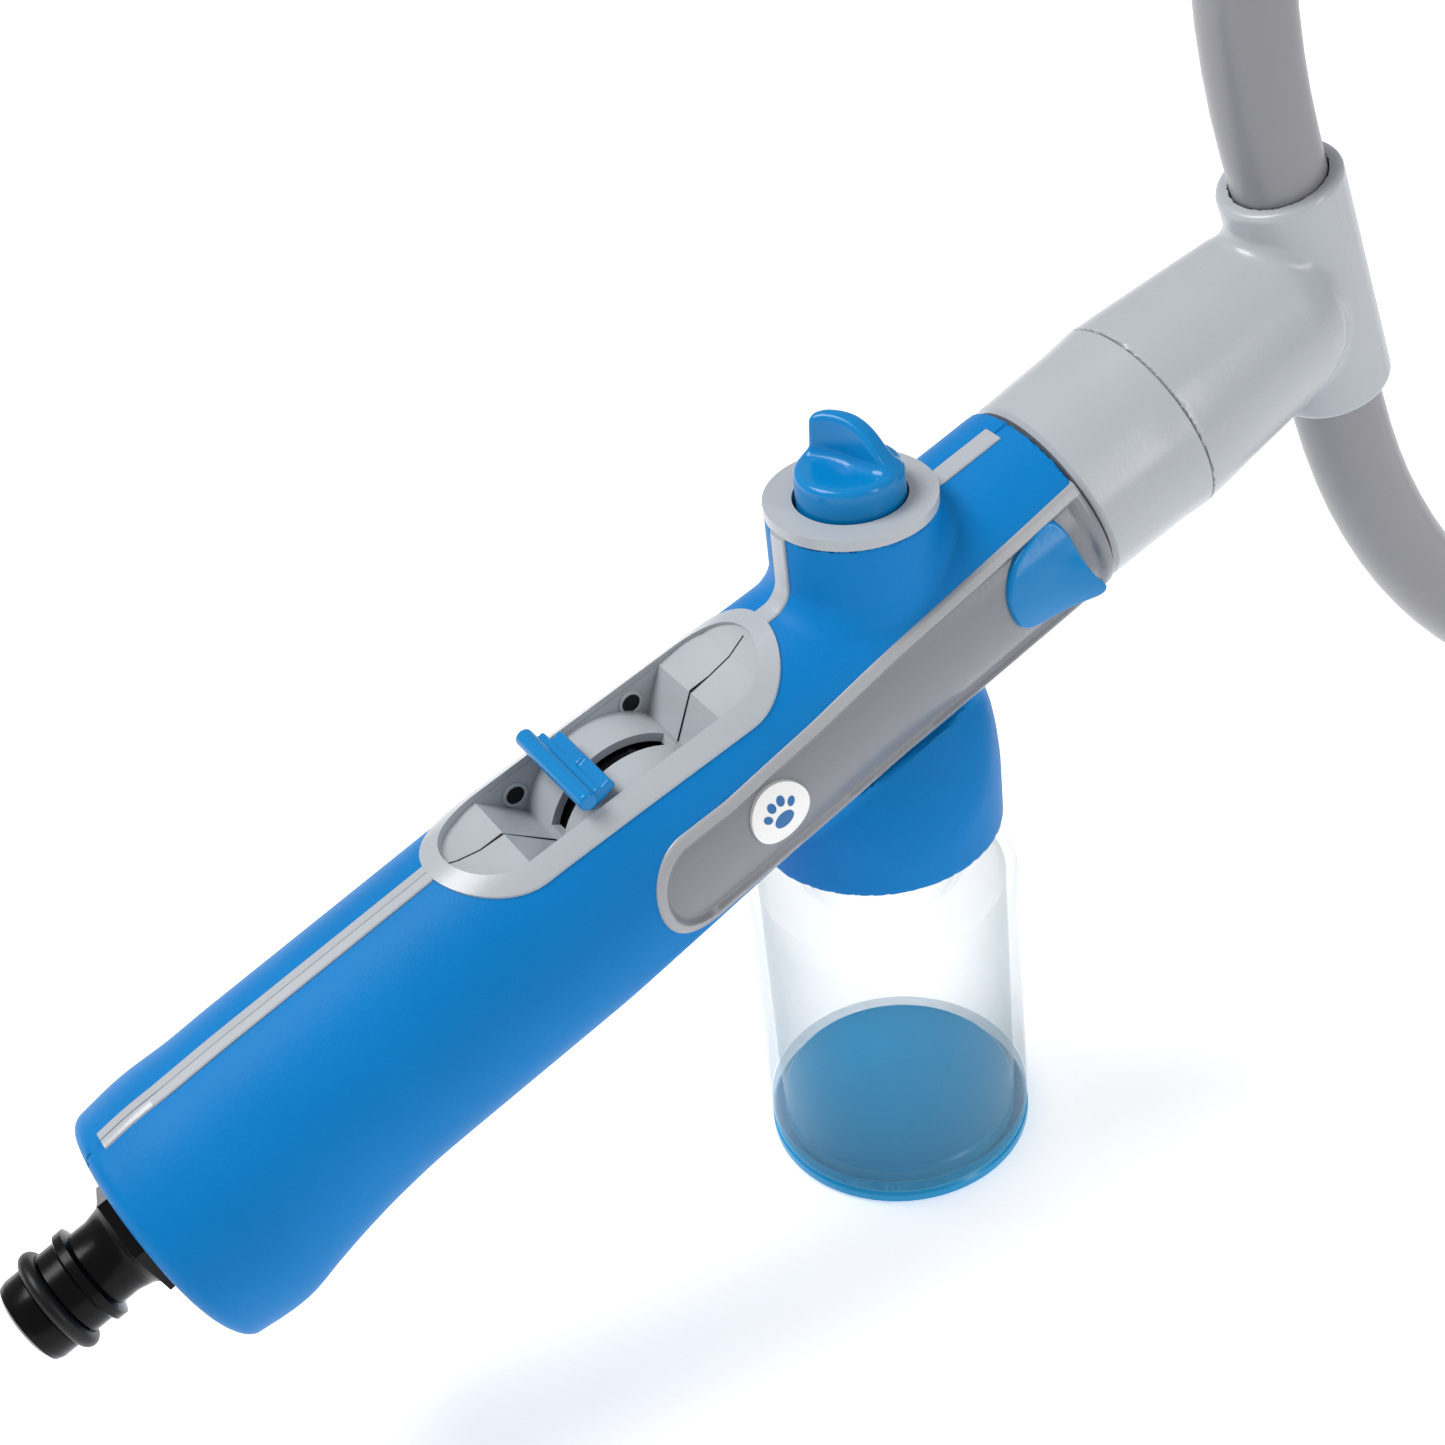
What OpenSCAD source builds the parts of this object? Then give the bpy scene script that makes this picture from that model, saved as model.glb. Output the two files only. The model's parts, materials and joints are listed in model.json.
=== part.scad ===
// Handheld bath sprayer: a round handle with a soap bottle under it and a spray hoop on its end.
// The origin is on the floor under the bottle's axis. +Z is up, +X points towards the hoop.
// Handle pieces are drawn along their own X axis and then tilted by in_handle().

/* [Stance] */
// Height of the handle's axis above the floor, at the bottle's axis
axis_height = 119; // [117:0.5:121]
// Angle by which the handle rises towards the hoop, in degrees
handle_tilt = 18.8; // [18:0.1:19.6]

/* [Handle] */
// Radius of the grip along its main length
grip_r = 22.4; // [22:0.1:23]
// Radius of the handle where it meets the collar
neck_r = 19.3; // [19:0.1:19.6]
// Position of the hose end of the handle
handle_start = -157; // [-160:1:-154]
// Position of the hoop end of the handle
handle_end = 42.4; // [42:0.1:42.8]
// Thickness of the soft grip skin
skin_t = 1.5; // [1.2:0.1:1.8]
// Thickness of the hard shell under the skin
shell_t = 2; // [1.6:0.1:2.4]
// How far the pommel hangs below the handle's axis
pommel_drop = 4.5; // [3:0.5:5]
// Width of the grey strip along the centre seam
strip_w = 4.2; // [3:0.2:5]

/* [Lever recess] */
// Half width of the recess rim
rim_half = 14.4; // [14:0.1:14.8]
// Half width of the well inside the rim
well_half = 10.6; // [10.4:0.1:10.9]
// Position of the lever's pivot along the handle
pivot_x = -51.5; // [-52.5:0.5:-50.5]
// Height of the lever's pivot above the handle's axis
pivot_z = 1.5; // [1:0.1:2]
// Outer radius of the drum cover over the pivot
drum_r = 15.9; // [15.7:0.1:16.1]
// Lean of the lever at rest, towards the hose, in degrees
lever_lean = 14; // [12:1:16]

/* [Selector knob] */
// Outer radius of the knob boss
boss_r = 15.1; // [14.8:0.1:15.4]
// Height of the knob boss above the floor
boss_top = 150.2; // [149:0.2:152]
// Radius of the knob's skirt
knob_r = 9.5; // [9.2:0.1:9.7]

/* [Bottle] */
// Outer radius of the bottle
bottle_r = 26.2; // [26:0.1:27]
// Angle that the bottle turns from locked to free, in degrees
bottle_turn = 60; // [40:5:75]
// Height of the bottle's shoulder
shoulder_z = 67.8; // [66:0.2:69]
// Outer radius of the bottle's neck
neck_tube_r = 16.3; // [16:0.1:16.6]
// Outer radius of the dome over the neck
dome_r = 23.8; // [23.5:0.1:24]
// Height of the dome's open edge
dome_z = 79.4; // [78:0.2:80]

/* [Hose adaptor] */
// Radius of the nose that a hose connector seals on
nose_r = 8; // [7.9:0.05:8.1]
// Width across the flats of the hexagon
hex_flats = 19; // [18:0.5:19.5]

/* [Coupling] */
// Radius of the collar at its widest
collar_r = 19.95; // [19.8:0.05:20.2]
// Inward travel of the release buttons
button_travel = 2.4; // [2:0.1:2.4]
// Radial clearance of running fits
fit_gap = 0.06; // [0.03:0.01:0.09]

/* [Hoop] */
// Outer radius of the hoop's tube
tube_r = 8.75; // [8.6:0.05:8.85]
// Wall thickness of the hoop's tube
tube_wall = 1.6; // [1.4:0.1:1.8]
// Distance of the hoop's socket from the bottle's axis, along the handle
socket_x = 109; // [107:0.5:110]
// Half length of the straight stretch through the socket
straight_half = 32; // [30:1:34]
// Number of spray nozzles
nozzle_count = 18; // [12:2:22]

/* [Hidden] */

$fn = 96;
blue = [0.02, 0.5, 0.82];
pale_grey = [0.74, 0.75, 0.77];
mid_grey = [0.55, 0.56, 0.58];
black = [0.06, 0.06, 0.06];
clear = [0.85, 0.92, 0.95, 0.4];
steel = [0.7, 0.7, 0.72];

big = 60;
pipe_r = 6.5;
pipe_bore = 4.5;

// Outer radius of the handle at stations along it: position, radius
grip_stations = [
    [handle_start, grip_r - 2.8], [handle_start + 1.6, grip_r - 1.2], [handle_start + 8, grip_r - 0.5],
    [-130, grip_r], [-72, grip_r], [-54, grip_r - 0.7], [-30, grip_r - 1.8],
    [-8, neck_r + 0.5], [30, neck_r + 0.2], [handle_end, neck_r],
];

// Recess: centres of its two round ends, and the slope of its floor as position and height
recess_ends = [-71.5, -28.5];
well_x = [-72, -31.5];
well_floor_x = [-64.6, -38.6];
well_floor_z = 9;
ramp_line = [
    [-90, 26], [-84.6, 22.6], [-80.5, 20.4], [-76.5, 19.1], [well_x[0], 18.7], [well_x[1], 16.9],
    [-27.5, 17.1], [-22.6, 17.7], [-18.4, 19.5], [-15.6, 22], [-10, 28],
];

// Lever: radii are measured from its pivot
drum_inner_r = drum_r - 1.6;
yoke_r = drum_inner_r - 0.6;
yoke_bridge_t = 1.5;
bar_inner_r = 20.2;
bar_outer_r = 23.9;
slot_half_angle = 52;
slot_w = 4.4;
stem_w = 3.4;
valve_r = 10;
rotor_r = 6.6;

// Screws that hold the two shells together: position, height
screw_spots = [[-131, -12], [-104, -12.5], [-79, -12.5], [-34, -11.5], [25, -11]];
// The first screws show on the left side, the others are under the left side panel
open_screws = [for (i = [0:2]) screw_spots[i]];
screw_head_y = 9.2;
screw_post_r = 4.2;

// Side panel and release button, seen from the side
panel_end_x = -50;
panel_end_r = 10.5;
panel_edge = 0.45;
button_spot = [30, 2];
button_edge = [
    [31.2, 13.4], [27.2, 12], [24, 9.8], [21.4, 6.6], [20, 3], [19.7, -0.6], [20.5, -3.6], [22.6, -5.6],
    [26, -6.6], [30, -7.4], [34, -8.3], [36.6, -9], [37.9, -8.6], [38, -6], [37.9, 5.6],
    [36.4, 9], [33.6, 12.4], [32.4, 13.4],
];
button_front = 38;
pad_y = 15.4;
// Length of a button spring when it is fully pressed
spring_pressed = 3.6;
spring_seat_y = pad_y - spring_pressed - button_travel;
spring_pitch = (spring_pressed + button_travel - 1) / 5;
badge_spot = [-33.3, 0.8];
badge_r = 5.9;

// Vertical pieces at the bottle's axis, as heights above the floor
bezel_t = 2;
knob_floor_z = 140;
chamber_z = [107, 131];
chamber_r = 10.4;
spindle_z = [108, 137];
spindle_r = 7;
socket_top_z = 88.5;
neck_top_z = 86.4;
lug_r = 17.5;
lug_z = [82.4, 84.6];

// Coupling, along the handle
collar_x = [43.2, 66.4];
groove_x = [46, 49.6];
spigot_r = 8;
sleeve_r = 10.3;
spigot_end = 62;
socket_r = 11.5;
socket_span = [-25.2, 24.6];
chamber_half = 7.5;

// Hoop: its small arcs stand next to the socket and are sized so that the tube touches the floor
hoop_r = (axis_height + socket_x * sin(handle_tilt) - straight_half * cos(handle_tilt) - tube_r)
    / (1 - sin(handle_tilt));
far_r = hoop_r + straight_half;
nozzle_span = 170;

// ---- Helpers ----

// Places what is drawn along X on the tilted axis of the handle
module in_handle() {
    translate([0, 0, axis_height]) rotate([0, -handle_tilt, 0]) children();
}

// Turns a profile drawn as [radius, position] about the X axis
module turned() {
    rotate([0, 90, 0]) rotate_extrude() children();
}

// Rod or hole along X between two positions
module rod_x(r, x0, x1) {
    translate([x0, 0, 0]) rotate([0, 90, 0]) cylinder(r = r, h = x1 - x0);
}

// Rod or hole along Y between two positions
module rod_y(r, y0, y1) {
    translate([0, y0, 0]) rotate([-90, 0, 0]) cylinder(r = r, h = y1 - y0);
}

// Ring about the X axis, made from a round section
module ring_x(ring_r, wire_r, x) {
    translate([x, 0, 0]) turned() translate([ring_r, 0]) circle(r = wire_r, $fn = 32);
}

function grip_at(x) = lookup(x, grip_stations);

// The handle's outer shape, made smaller by depth, between two positions
module grip_form(depth, x0, x1) {
    turned() polygon(concat(
        [[0, x0], [grip_at(x0) - depth, x0]],
        [for (s = grip_stations) if (s[0] > x0 && s[0] < x1) [s[1] - depth, s[0]]],
        [[grip_at(x1) - depth, x1], [0, x1]]
    ));
}

// Heavier end of the handle, hung below the axis
module pommel_form() {
    translate([0, 0, -pommel_drop]) turned() polygon([
        [0, handle_start], [20.4, handle_start], [22.2, handle_start + 1.8], [23.3, handle_start + 8],
        [23.3, handle_start + 12.5], [17.8, handle_start + 33], [0, handle_start + 33],
    ]);
}

// Half space on one side of the centre plane: side is 1 for left and -1 for right
module half(side) {
    intersection() {
        children();
        translate([-250, side > 0 ? 0 : -big, -big]) cube([600, big, 4 * big]);
    }
}

module mirrored(side) {
    if (side > 0) children();
    else mirror([0, 1, 0]) children();
}

// Outline of the lever recess, made smaller by inset
module recess_outline(inset) {
    r = rim_half - inset;
    for (x = recess_ends) translate([x, 0]) circle(r = r);
    translate([recess_ends[0], -r]) square([recess_ends[1] - recess_ends[0], 2 * r]);
}

module recess_prism(inset, z0) {
    translate([0, 0, z0]) linear_extrude(height = 50 - z0) recess_outline(inset);
}

// Upper edge of the side panel, as position and half height
panel_line = [[panel_end_x, panel_end_r], [-20, 12.9], [0, 13.6], [handle_end + 1, 12.6]];

module panel_outline(inset, x_end) {
    upper = [for (p = panel_line) [min(p[0], x_end), p[1] - inset]];
    lower = [for (i = [len(panel_line) - 1:-1:0]) [upper[i][0], -upper[i][1]]];
    end_r = panel_end_r - inset;
    round_end = [for (a = [-95:-5:-265]) [panel_end_x + end_r * cos(a), end_r * sin(a)]];
    polygon(concat(upper, lower, round_end));
}

// Turns a side outline into a prism through one side of the handle
module side_prism(side, y0) {
    mirrored(side) translate([0, big, 0]) rotate([90, 0, 0]) linear_extrude(height = big - y0) children();
}

module button_outline(gap) {
    translate(button_spot) scale(1 + gap / 9) translate(-button_spot) polygon(button_edge);
}

// Strips of the grey shell that show along the centre seam
module strip_spans() {
    for (span = [[handle_start + 4, recess_ends[0] - rim_half + 4], [recess_ends[1] + rim_half - 4, -8],
                 [8, handle_end - 3.6]])
        translate([span[0], -strip_w / 2, 0]) cube([span[1] - span[0], strip_w, big]);
}

// Grey strip up the hose side of the knob boss
module boss_strip() {
    translate([-boss_r - 2, -strip_w / 2, axis_height]) cube([8, strip_w, boss_top - bezel_t - axis_height]);
}

module boss_form(shrink) {
    translate([0, 0, axis_height - 8])
        cylinder(r = boss_r - shrink, h = boss_top - bezel_t - axis_height + 8);
}

module screw_holes(r, y0, y1, spots) {
    for (s = spots) translate([s[0], 0, s[1]]) rod_y(r, y0, y1);
}

// ---- Handle shells ----

// Space of the recess above its ramps and inside its well
module recess_space() {
    intersection() {
        recess_prism(rim_half - well_half - 0.2, 0);
        translate([0, well_half + 6, 0]) rotate([90, 0, 0]) linear_extrude(height = 2 * well_half + 12)
            polygon(concat(ramp_line, [[-10, 40], [-90, 40]]));
    }
    translate([0, well_half, 0]) rotate([90, 0, 0]) linear_extrude(height = 2 * well_half)
        polygon([
            [well_x[0], 19], [well_floor_x[0], well_floor_z], [well_floor_x[1], well_floor_z],
            [well_x[1], 17.2], [well_x[1], 30], [well_x[0], 30],
        ]);
}

// Grey tray set into the top of the handle
module tray() {
    difference() {
        intersection() {
            grip_form(-panel_edge, -90, -10);
            recess_prism(0.02, 6.5);
        }
        recess_space();
        // hollow under the two ramps
        translate([-100, -big, 0]) cube([25.5, 2 * big, 16]);
        translate([-28.5, -big, 0]) cube([25, 2 * big, 14.5]);
        translate([pivot_x, 0, pivot_z]) rod_y(drum_inner_r, -well_half, well_half);
    }
}

// Round cover over the lever's yoke, open along the lever's slot
module drum_cover() {
    difference() {
        intersection() {
            translate([pivot_x, 0, pivot_z]) rod_y(drum_r, -well_half - 0.4, well_half + 0.4);
            translate([pivot_x - big, -big, 7]) cube([2 * big, 2 * big, big]);
        }
        translate([pivot_x, 0, pivot_z]) rod_y(drum_inner_r, -well_half, well_half);
        translate([pivot_x, -slot_w / 2, pivot_z]) intersection() {
            translate([-big, 0, 0]) cube([2 * big, slot_w, big]);
            rotate([-90, 0, 0]) linear_extrude(height = slot_w)
                polygon([[0, 0], [-40 * sin(slot_half_angle), -40 * cos(slot_half_angle)], [0, -60],
                         [40 * sin(slot_half_angle), -40 * cos(slot_half_angle)]]);
        }
    }
}

// Wall across the inside of the shell, bored for a tube
module bulkhead(x, bore) {
    difference() {
        grip_form(shell_t + skin_t - 0.2, x, x + 2);
        rod_x(bore, x - 1, x + 3);
    }
}

module shell_both() {
    difference() {
        union() {
            in_handle() difference() {
                grip_form(skin_t, handle_start + skin_t, handle_end);
                grip_form(skin_t + shell_t, handle_start + skin_t + shell_t, handle_end - 2.8);
                recess_prism(0.5, 0);
            }
            in_handle() tray();
            in_handle() drum_cover();
            in_handle() bulkhead(-126, pipe_r);
            in_handle() bulkhead(-22, pipe_r);
            // plates that the button springs push on
            for (side = [1, -1]) in_handle() mirrored(side) intersection() {
                grip_form(skin_t + 0.5, 20, 32);
                translate([21, spring_seat_y - 1.8, -20]) cube([7.8, 1.8, 40]);
            }
            difference() {
                boss_form(skin_t);
                in_handle() grip_form(skin_t + shell_t, -40, 40);
                // clear of the side panels
                for (side = [1, -1]) in_handle() difference() {
                    side_prism(side, 6) panel_outline(0, handle_end + 1);
                    grip_form(skin_t, -60, handle_end + 1);
                }
            }
            in_handle() intersection() {
                difference() {
                    grip_form(-0.3, handle_start + 2, handle_end - 1);
                    grip_form(skin_t + 0.2, handle_start + 1, handle_end);
                    recess_prism(0.3, 0);
                }
                strip_spans();
            }
            intersection() {
                difference() {
                    translate([0, 0, axis_height])
                        cylinder(r = boss_r + 0.25, h = boss_top - bezel_t - axis_height);
                    in_handle() grip_form(0, -40, 40);
                }
                boss_strip();
            }
            in_handle() intersection() {
                screw_holes(screw_post_r, -22, 22, screw_spots);
                grip_form(skin_t + 1, -150, 38);
            }
        }
        // knob well, spindle hole and chamber room
        translate([0, 0, knob_floor_z]) cylinder(r = knob_r + 0.6, h = 20);
        translate([0, 0, axis_height - 4])
            cylinder(r = chamber_r + 0.1, h = chamber_z[1] - axis_height + 4.1);
        translate([0, 0, axis_height]) cylinder(r = 3.6, h = 30);
        translate([0, 0, 80]) cylinder(r = 5.3, h = 35);
        // hose end and hoop end
        in_handle() rod_x(11.5, handle_start - 1, handle_start + 8);
        in_handle() rod_x(spigot_r + 0.02, 30, 50);
        for (side = [1, -1]) in_handle() mirrored(side) translate([28, 9.9, -4.6]) cube([20, 6, 9.2]);
        for (side = [1, -1]) in_handle() side_prism(side, 12) button_outline(0.4);
        // screws
        in_handle() screw_holes(1.45, -9, 22, screw_spots);
        in_handle() screw_holes(3.02, screw_head_y, 24, screw_spots);
    }
}

module left_shell() {
    color(pale_grey) half(1) shell_both();
}

module right_shell() {
    color(pale_grey) half(-1) shell_both();
}

// ---- Soft grip ----

module grip_both() {
    difference() {
        union() {
            in_handle() grip_form(0, handle_start, handle_end);
            in_handle() pommel_form();
            boss_form(0);
        }
        in_handle() grip_form(skin_t, handle_start + skin_t, handle_end + 1);
        boss_form(skin_t);
        boss_strip();
        in_handle() strip_spans();
        in_handle() recess_prism(0, 0);
        for (side = [1, -1]) in_handle() side_prism(side, 6) {
            panel_outline(0, handle_end + 1);
            button_outline(0.4);
        }
        in_handle() rod_x(11.5, handle_start - 1, handle_start + 8);
        translate([0, 0, 80]) cylinder(r = 5.3, h = 35);
        in_handle() screw_holes(3.02, screw_head_y, 30, open_screws);
    }
}

module left_grip() {
    color(blue) half(1) grip_both();
}

module right_grip() {
    color(blue) half(-1) grip_both();
}

// ---- Side panels, badge and screws ----

module side_panel(side) {
    color(mid_grey) in_handle() difference() {
        intersection() {
            grip_form(-panel_edge, -70, handle_end - 0.1);
            side_prism(side, 6) panel_outline(0.05, handle_end - 0.1);
        }
        grip_form(skin_t, -80, handle_end + 1);
        difference() {
            side_prism(side, 6) panel_outline(1.7, button_front + 1.6);
            grip_form(0.9, -80, handle_end + 1);
        }
        side_prism(side, 6) button_outline(0.4);
    }
}

module left_side_panel() {
    side_panel(1);
}

module right_side_panel() {
    side_panel(-1);
}

module side_badge() {
    color("white") in_handle() intersection() {
        side_prism(-1, 6) translate(badge_spot) circle(r = badge_r);
        difference() {
            grip_form(0.1, -60, 0);
            grip_form(0.9, -60, 0);
        }
    }
}

module shell_screws() {
    color(steel) in_handle() for (s = screw_spots) translate([s[0], 0, s[1]]) difference() {
        union() {
            rod_y(1.4, -8.6, screw_head_y + 0.5);
            rod_y(2.8, screw_head_y, screw_head_y + 2.2);
        }
        for (a = [0, 90]) translate([0, screw_head_y + 2.2, 0]) rotate([0, a, 0])
            cube([3.6, 2.4, 0.8], center = true);
    }
}

// ---- Hose end ----

module hose_adaptor() {
    color(black) in_handle() difference() {
        union() {
            turned() polygon([
                [0, -183.6], [6.4, -183.6], [7.6, -183], [nose_r, -181.8], [nose_r, -178.7], [6.85, -178.7],
                [6.85, -175.3], [nose_r, -175.3], [nose_r, -172], [8.9, -171.4], [8.9, -169.8],
                [7.25, -169.3], [7.25, -166], [7.9, -163.2], [9.2, -161.6], [9.2, -157.2], [0, -157.2],
            ]);
            translate([-161.7, 0, 0]) rotate([0, 90, 0])
                cylinder(r = hex_flats / 2 / cos(30), h = 4.5, $fn = 6);
            rod_x(8.2, -157.5, -143);
        }
        rod_x(pipe_bore, -190, -140);
    }
}

module adaptor_o_ring() {
    color(black) in_handle() ring_x(8.3, 1.42, -177);
}

module adaptor_washer() {
    color(black) in_handle() difference() {
        rod_x(8.1, -143, -141.2);
        rod_x(pipe_bore + 0.3, -144, -140);
    }
}

module inlet_tube() {
    color(pale_grey) in_handle() difference() {
        union() {
            rod_x(11.3, -157, -138.5);
            rod_x(pipe_r - 0.05, -138.6, pivot_x - valve_r + 0.2);
        }
        rod_x(8.25, -158, -141.2);
        rod_x(pipe_bore, -142, pivot_x);
        translate([pivot_x, 0, pivot_z]) rod_y(valve_r, -12, 12);
    }
}

// ---- Valve and lever ----

module valve_body() {
    color(pale_grey) in_handle() difference() {
        translate([pivot_x, 0, pivot_z]) rod_y(valve_r, -7.4, 7.4);
        translate([pivot_x, 0, pivot_z]) rod_y(rotor_r + fit_gap, -9, 9);
        rod_x(pipe_bore, pivot_x - 14, pivot_x + 14);
    }
}

module valve_rotor() {
    color(steel) in_handle() difference() {
        translate([pivot_x, 0, pivot_z]) union() {
            rod_y(rotor_r, -7.4, 7.4);
            for (side = [1, -1]) mirrored(side) translate([-2.6, 7.3, -2.6]) cube([5.2, 2.2, 5.2]);
        }
        for (side = [1, -1]) translate([pivot_x, 0, pivot_z]) mirrored(side) difference() {
            rod_y(rotor_r + 1, 5.4, 6.9);
            rod_y(rotor_r - 1, 5, 7.2);
        }
        rod_x(4.2, pivot_x - 14, pivot_x + 14);
    }
}

module rotor_o_rings() {
    color(black) in_handle() for (y = [-6.15, 6.15])
        translate([pivot_x, y, pivot_z]) rotate([90, 0, 0]) rotate_extrude()
            translate([rotor_r - 0.48, 0]) circle(r = 0.5, $fn = 24);
}

// Sector of a ring about the pivot, between two angles from straight up
module pivot_sector(r0, r1, a0, a1, half_w) {
    rotate([90, 0, 0]) translate([0, 0, -half_w]) rotate([0, 0, 90 - a1])
        rotate_extrude(angle = a1 - a0) translate([r0, 0]) square([r1 - r0, 2 * half_w]);
}

module lever_yoke() {
    color(black) in_handle() translate([pivot_x, 0, pivot_z]) difference() {
        union() {
            pivot_sector(yoke_r - yoke_bridge_t, yoke_r, -lever_lean - 38, -lever_lean + 38, 9.5);
            for (side = [1, -1]) mirrored(side) rod_y(yoke_r - 1, 7.7, 9.5);
        }
        for (side = [1, -1]) mirrored(side) translate([-2.62, 7, -2.62]) cube([5.24, 4, 5.24]);
        rotate([0, -lever_lean, 0]) translate([-3.02, -stem_w / 2 - 0.02, 0])
            cube([6.04, stem_w + 0.04, 20]);
    }
}

module thumb_lever() {
    half_bar = 11.6;
    color(blue) in_handle() translate([pivot_x, 0, pivot_z]) rotate([0, -lever_lean, 0]) {
        difference() {
            translate([-3, -stem_w / 2, yoke_r - yoke_bridge_t]) cube([6, stem_w, bar_inner_r - yoke_r + 2]);
            translate([0, 0, 0]) rod_y(yoke_r - yoke_bridge_t, -5, 5);
        }
        translate([0, half_bar, 0]) rotate([90, 0, 0]) linear_extrude(height = 2 * half_bar) polygon([
            [-2.5, bar_inner_r], [2.5, bar_inner_r], [2.5, bar_outer_r - 1.6], [0.9, bar_outer_r],
            [-0.9, bar_outer_r], [-2.5, bar_outer_r - 1.6],
        ]);
    }
}

module flow_tube() {
    color(pale_grey) in_handle() difference() {
        rod_x(pipe_r - 0.05, pivot_x + 7, -8);
        rod_x(pipe_bore, pivot_x, 0);
        translate([pivot_x, 0, pivot_z]) rod_y(valve_r, -12, 12);
        translate([0, 0, 0]) rotate([0, handle_tilt, 0]) cylinder(r = chamber_r, h = 80, center = true);
    }
}

// ---- Mixing chamber, selector and knob ----

module mixing_chamber() {
    color(pale_grey) difference() {
        union() {
            translate([0, 0, chamber_z[0]]) cylinder(r = chamber_r, h = chamber_z[1] - chamber_z[0]);
            translate([0, 0, neck_top_z + 2.2]) cylinder(r = 5.1, h = chamber_z[0] - neck_top_z - 2);
        }
        translate([0, 0, spindle_z[0]]) cylinder(r = spindle_r + fit_gap, h = 40);
        translate([0, 0, 80]) cylinder(r = 2, h = 40);
        translate([0, 0, 97]) cylinder(r = 3.1, h = spindle_z[0] - 96.5);
        in_handle() rod_x(pipe_bore, -20, 20);
    }
}

module selector_spindle() {
    color(black) difference() {
        union() {
            translate([0, 0, spindle_z[0] + 0.1]) cylinder(r = spindle_r, h = 23);
            translate([0, 0, spindle_z[0] + 20]) cylinder(r = 3.5, h = boss_top - 2 - spindle_z[0] - 20);
        }
        for (z = [126.6]) translate([0, 0, z]) difference() {
            cylinder(r = spindle_r + 1, h = 2);
            cylinder(r = spindle_r - 1.2, h = 2);
        }
        in_handle() rod_x(4.2, -20, 20);
        translate([0, 0, spindle_z[0]]) cylinder(r = 2, h = 10);
    }
}

module spindle_o_rings() {
    color(black) translate([0, 0, 127.6]) rotate_extrude() translate([spindle_r - 0.58, 0])
        circle(r = 0.6, $fn = 24);
}

module knob_bezel() {
    color(pale_grey) translate([0, 0, boss_top - bezel_t]) difference() {
        cylinder(r = boss_r + 0.1, h = bezel_t);
        translate([0, 0, -1]) cylinder(r = knob_r + 0.6, h = bezel_t + 2);
    }
}

// Round knob with a raised thumb fin across it
module selector_knob() {
    fin_turn = -22;
    color(blue) difference() {
        union() {
            translate([0, 0, knob_floor_z + 0.3]) rotate_extrude() polygon([
                [0, 0], [knob_r, 0], [knob_r, 13.6], [knob_r - 0.6, 15], [knob_r - 2, 15.7], [0, 15.7],
            ]);
            intersection() {
                rotate([0, 0, fin_turn]) translate([-2.4, -knob_r, 150]) cube([4.8, 2 * knob_r, 20]);
                translate([0, 0, 150]) cylinder(r = knob_r - 0.3, h = 20);
                rotate([0, 0, fin_turn]) translate([-5, 1.5, 154.6]) rotate([0, 90, 0])
                    cylinder(r = 9.6, h = 10);
            }
        }
        translate([0, 0, knob_floor_z]) cylinder(r = 3.52, h = boss_top - 1.9 - knob_floor_z);
    }
}

module pickup_valve_ball() {
    color(steel) translate([0, 0, 99.2]) sphere(r = 2.9, $fn = 48);
}

// ---- Bottle ----

// Two opposite sectors of a ring about the vertical axis, between two angles
module two_sectors(r0, r1, a0, a1, z0, z1) {
    for (a = [a0, a0 + 180]) rotate([0, 0, a]) translate([0, 0, z0]) rotate_extrude(angle = a1 - a0)
        translate([r0, 0]) square([r1 - r0, z1 - z0]);
}

module bottle_dome() {
    color(blue) difference() {
        union() {
            difference() {
                rotate_extrude() polygon([
                    [0, dome_z], [dome_r - 0.3, dome_z], [dome_r, dome_z + 0.5], [dome_r, 92],
                    [dome_r - 0.5, 97.5],
                    [dome_r - 1.3, 102.5], [dome_r - 2.4, 107], [dome_r - 5, 112], [0, 112],
                ]);
                translate([0, 0, dome_z - 1]) cylinder(r = dome_r - 2, h = 16);
                translate([0, 0, dome_z + 14]) cylinder(r1 = dome_r - 2, r2 = dome_r - 8, h = 18);
            }
            translate([0, 0, dome_z + 1]) cylinder(r = neck_tube_r + 2.7, h = socket_top_z - dome_z - 0.5);
            translate([0, 0, socket_top_z]) cylinder(r = dome_r - 1.5, h = 2);
        }
        translate([0, 0, dome_z - 1]) cylinder(r = neck_tube_r + fit_gap, h = socket_top_z - dome_z + 1);
        // tracks for the bottle's two lugs
        two_sectors(neck_tube_r - 1, lug_r + 0.15, 78 - bottle_turn, 102, lug_z[0] - 0.1, lug_z[1] + 0.1);
        two_sectors(neck_tube_r - 1, lug_r + 0.15, 78 - bottle_turn, 102 - bottle_turn, dome_z - 1, lug_z[0]);
        translate([0, 0, 80]) cylinder(r = 5.15, h = 35);
        in_handle() grip_form(-0.02, -90, handle_end);
        // flanks that slope up to the side panels' lower edges
        for (side = [1, -1]) in_handle() mirrored(side) translate([-60, 0, 0]) rotate([90, 0, 90])
            linear_extrude(height = 90) polygon([[33, -36.8], [60, -36.8], [60, 0], [7.5, 0]]);
        // clear of the side panels
        for (side = [1, -1]) in_handle() intersection() {
            grip_form(-panel_edge - 0.02, -70, handle_end);
            side_prism(side, 4) panel_outline(-0.1, handle_end);
        }
    }
}

module neck_gasket() {
    color(black) translate([0, 0, neck_top_z + 0.1]) difference() {
        cylinder(r = neck_tube_r - 0.3, h = socket_top_z - neck_top_z - 0.15);
        translate([0, 0, -1]) cylinder(r = 9, h = 5);
    }
}

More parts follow.
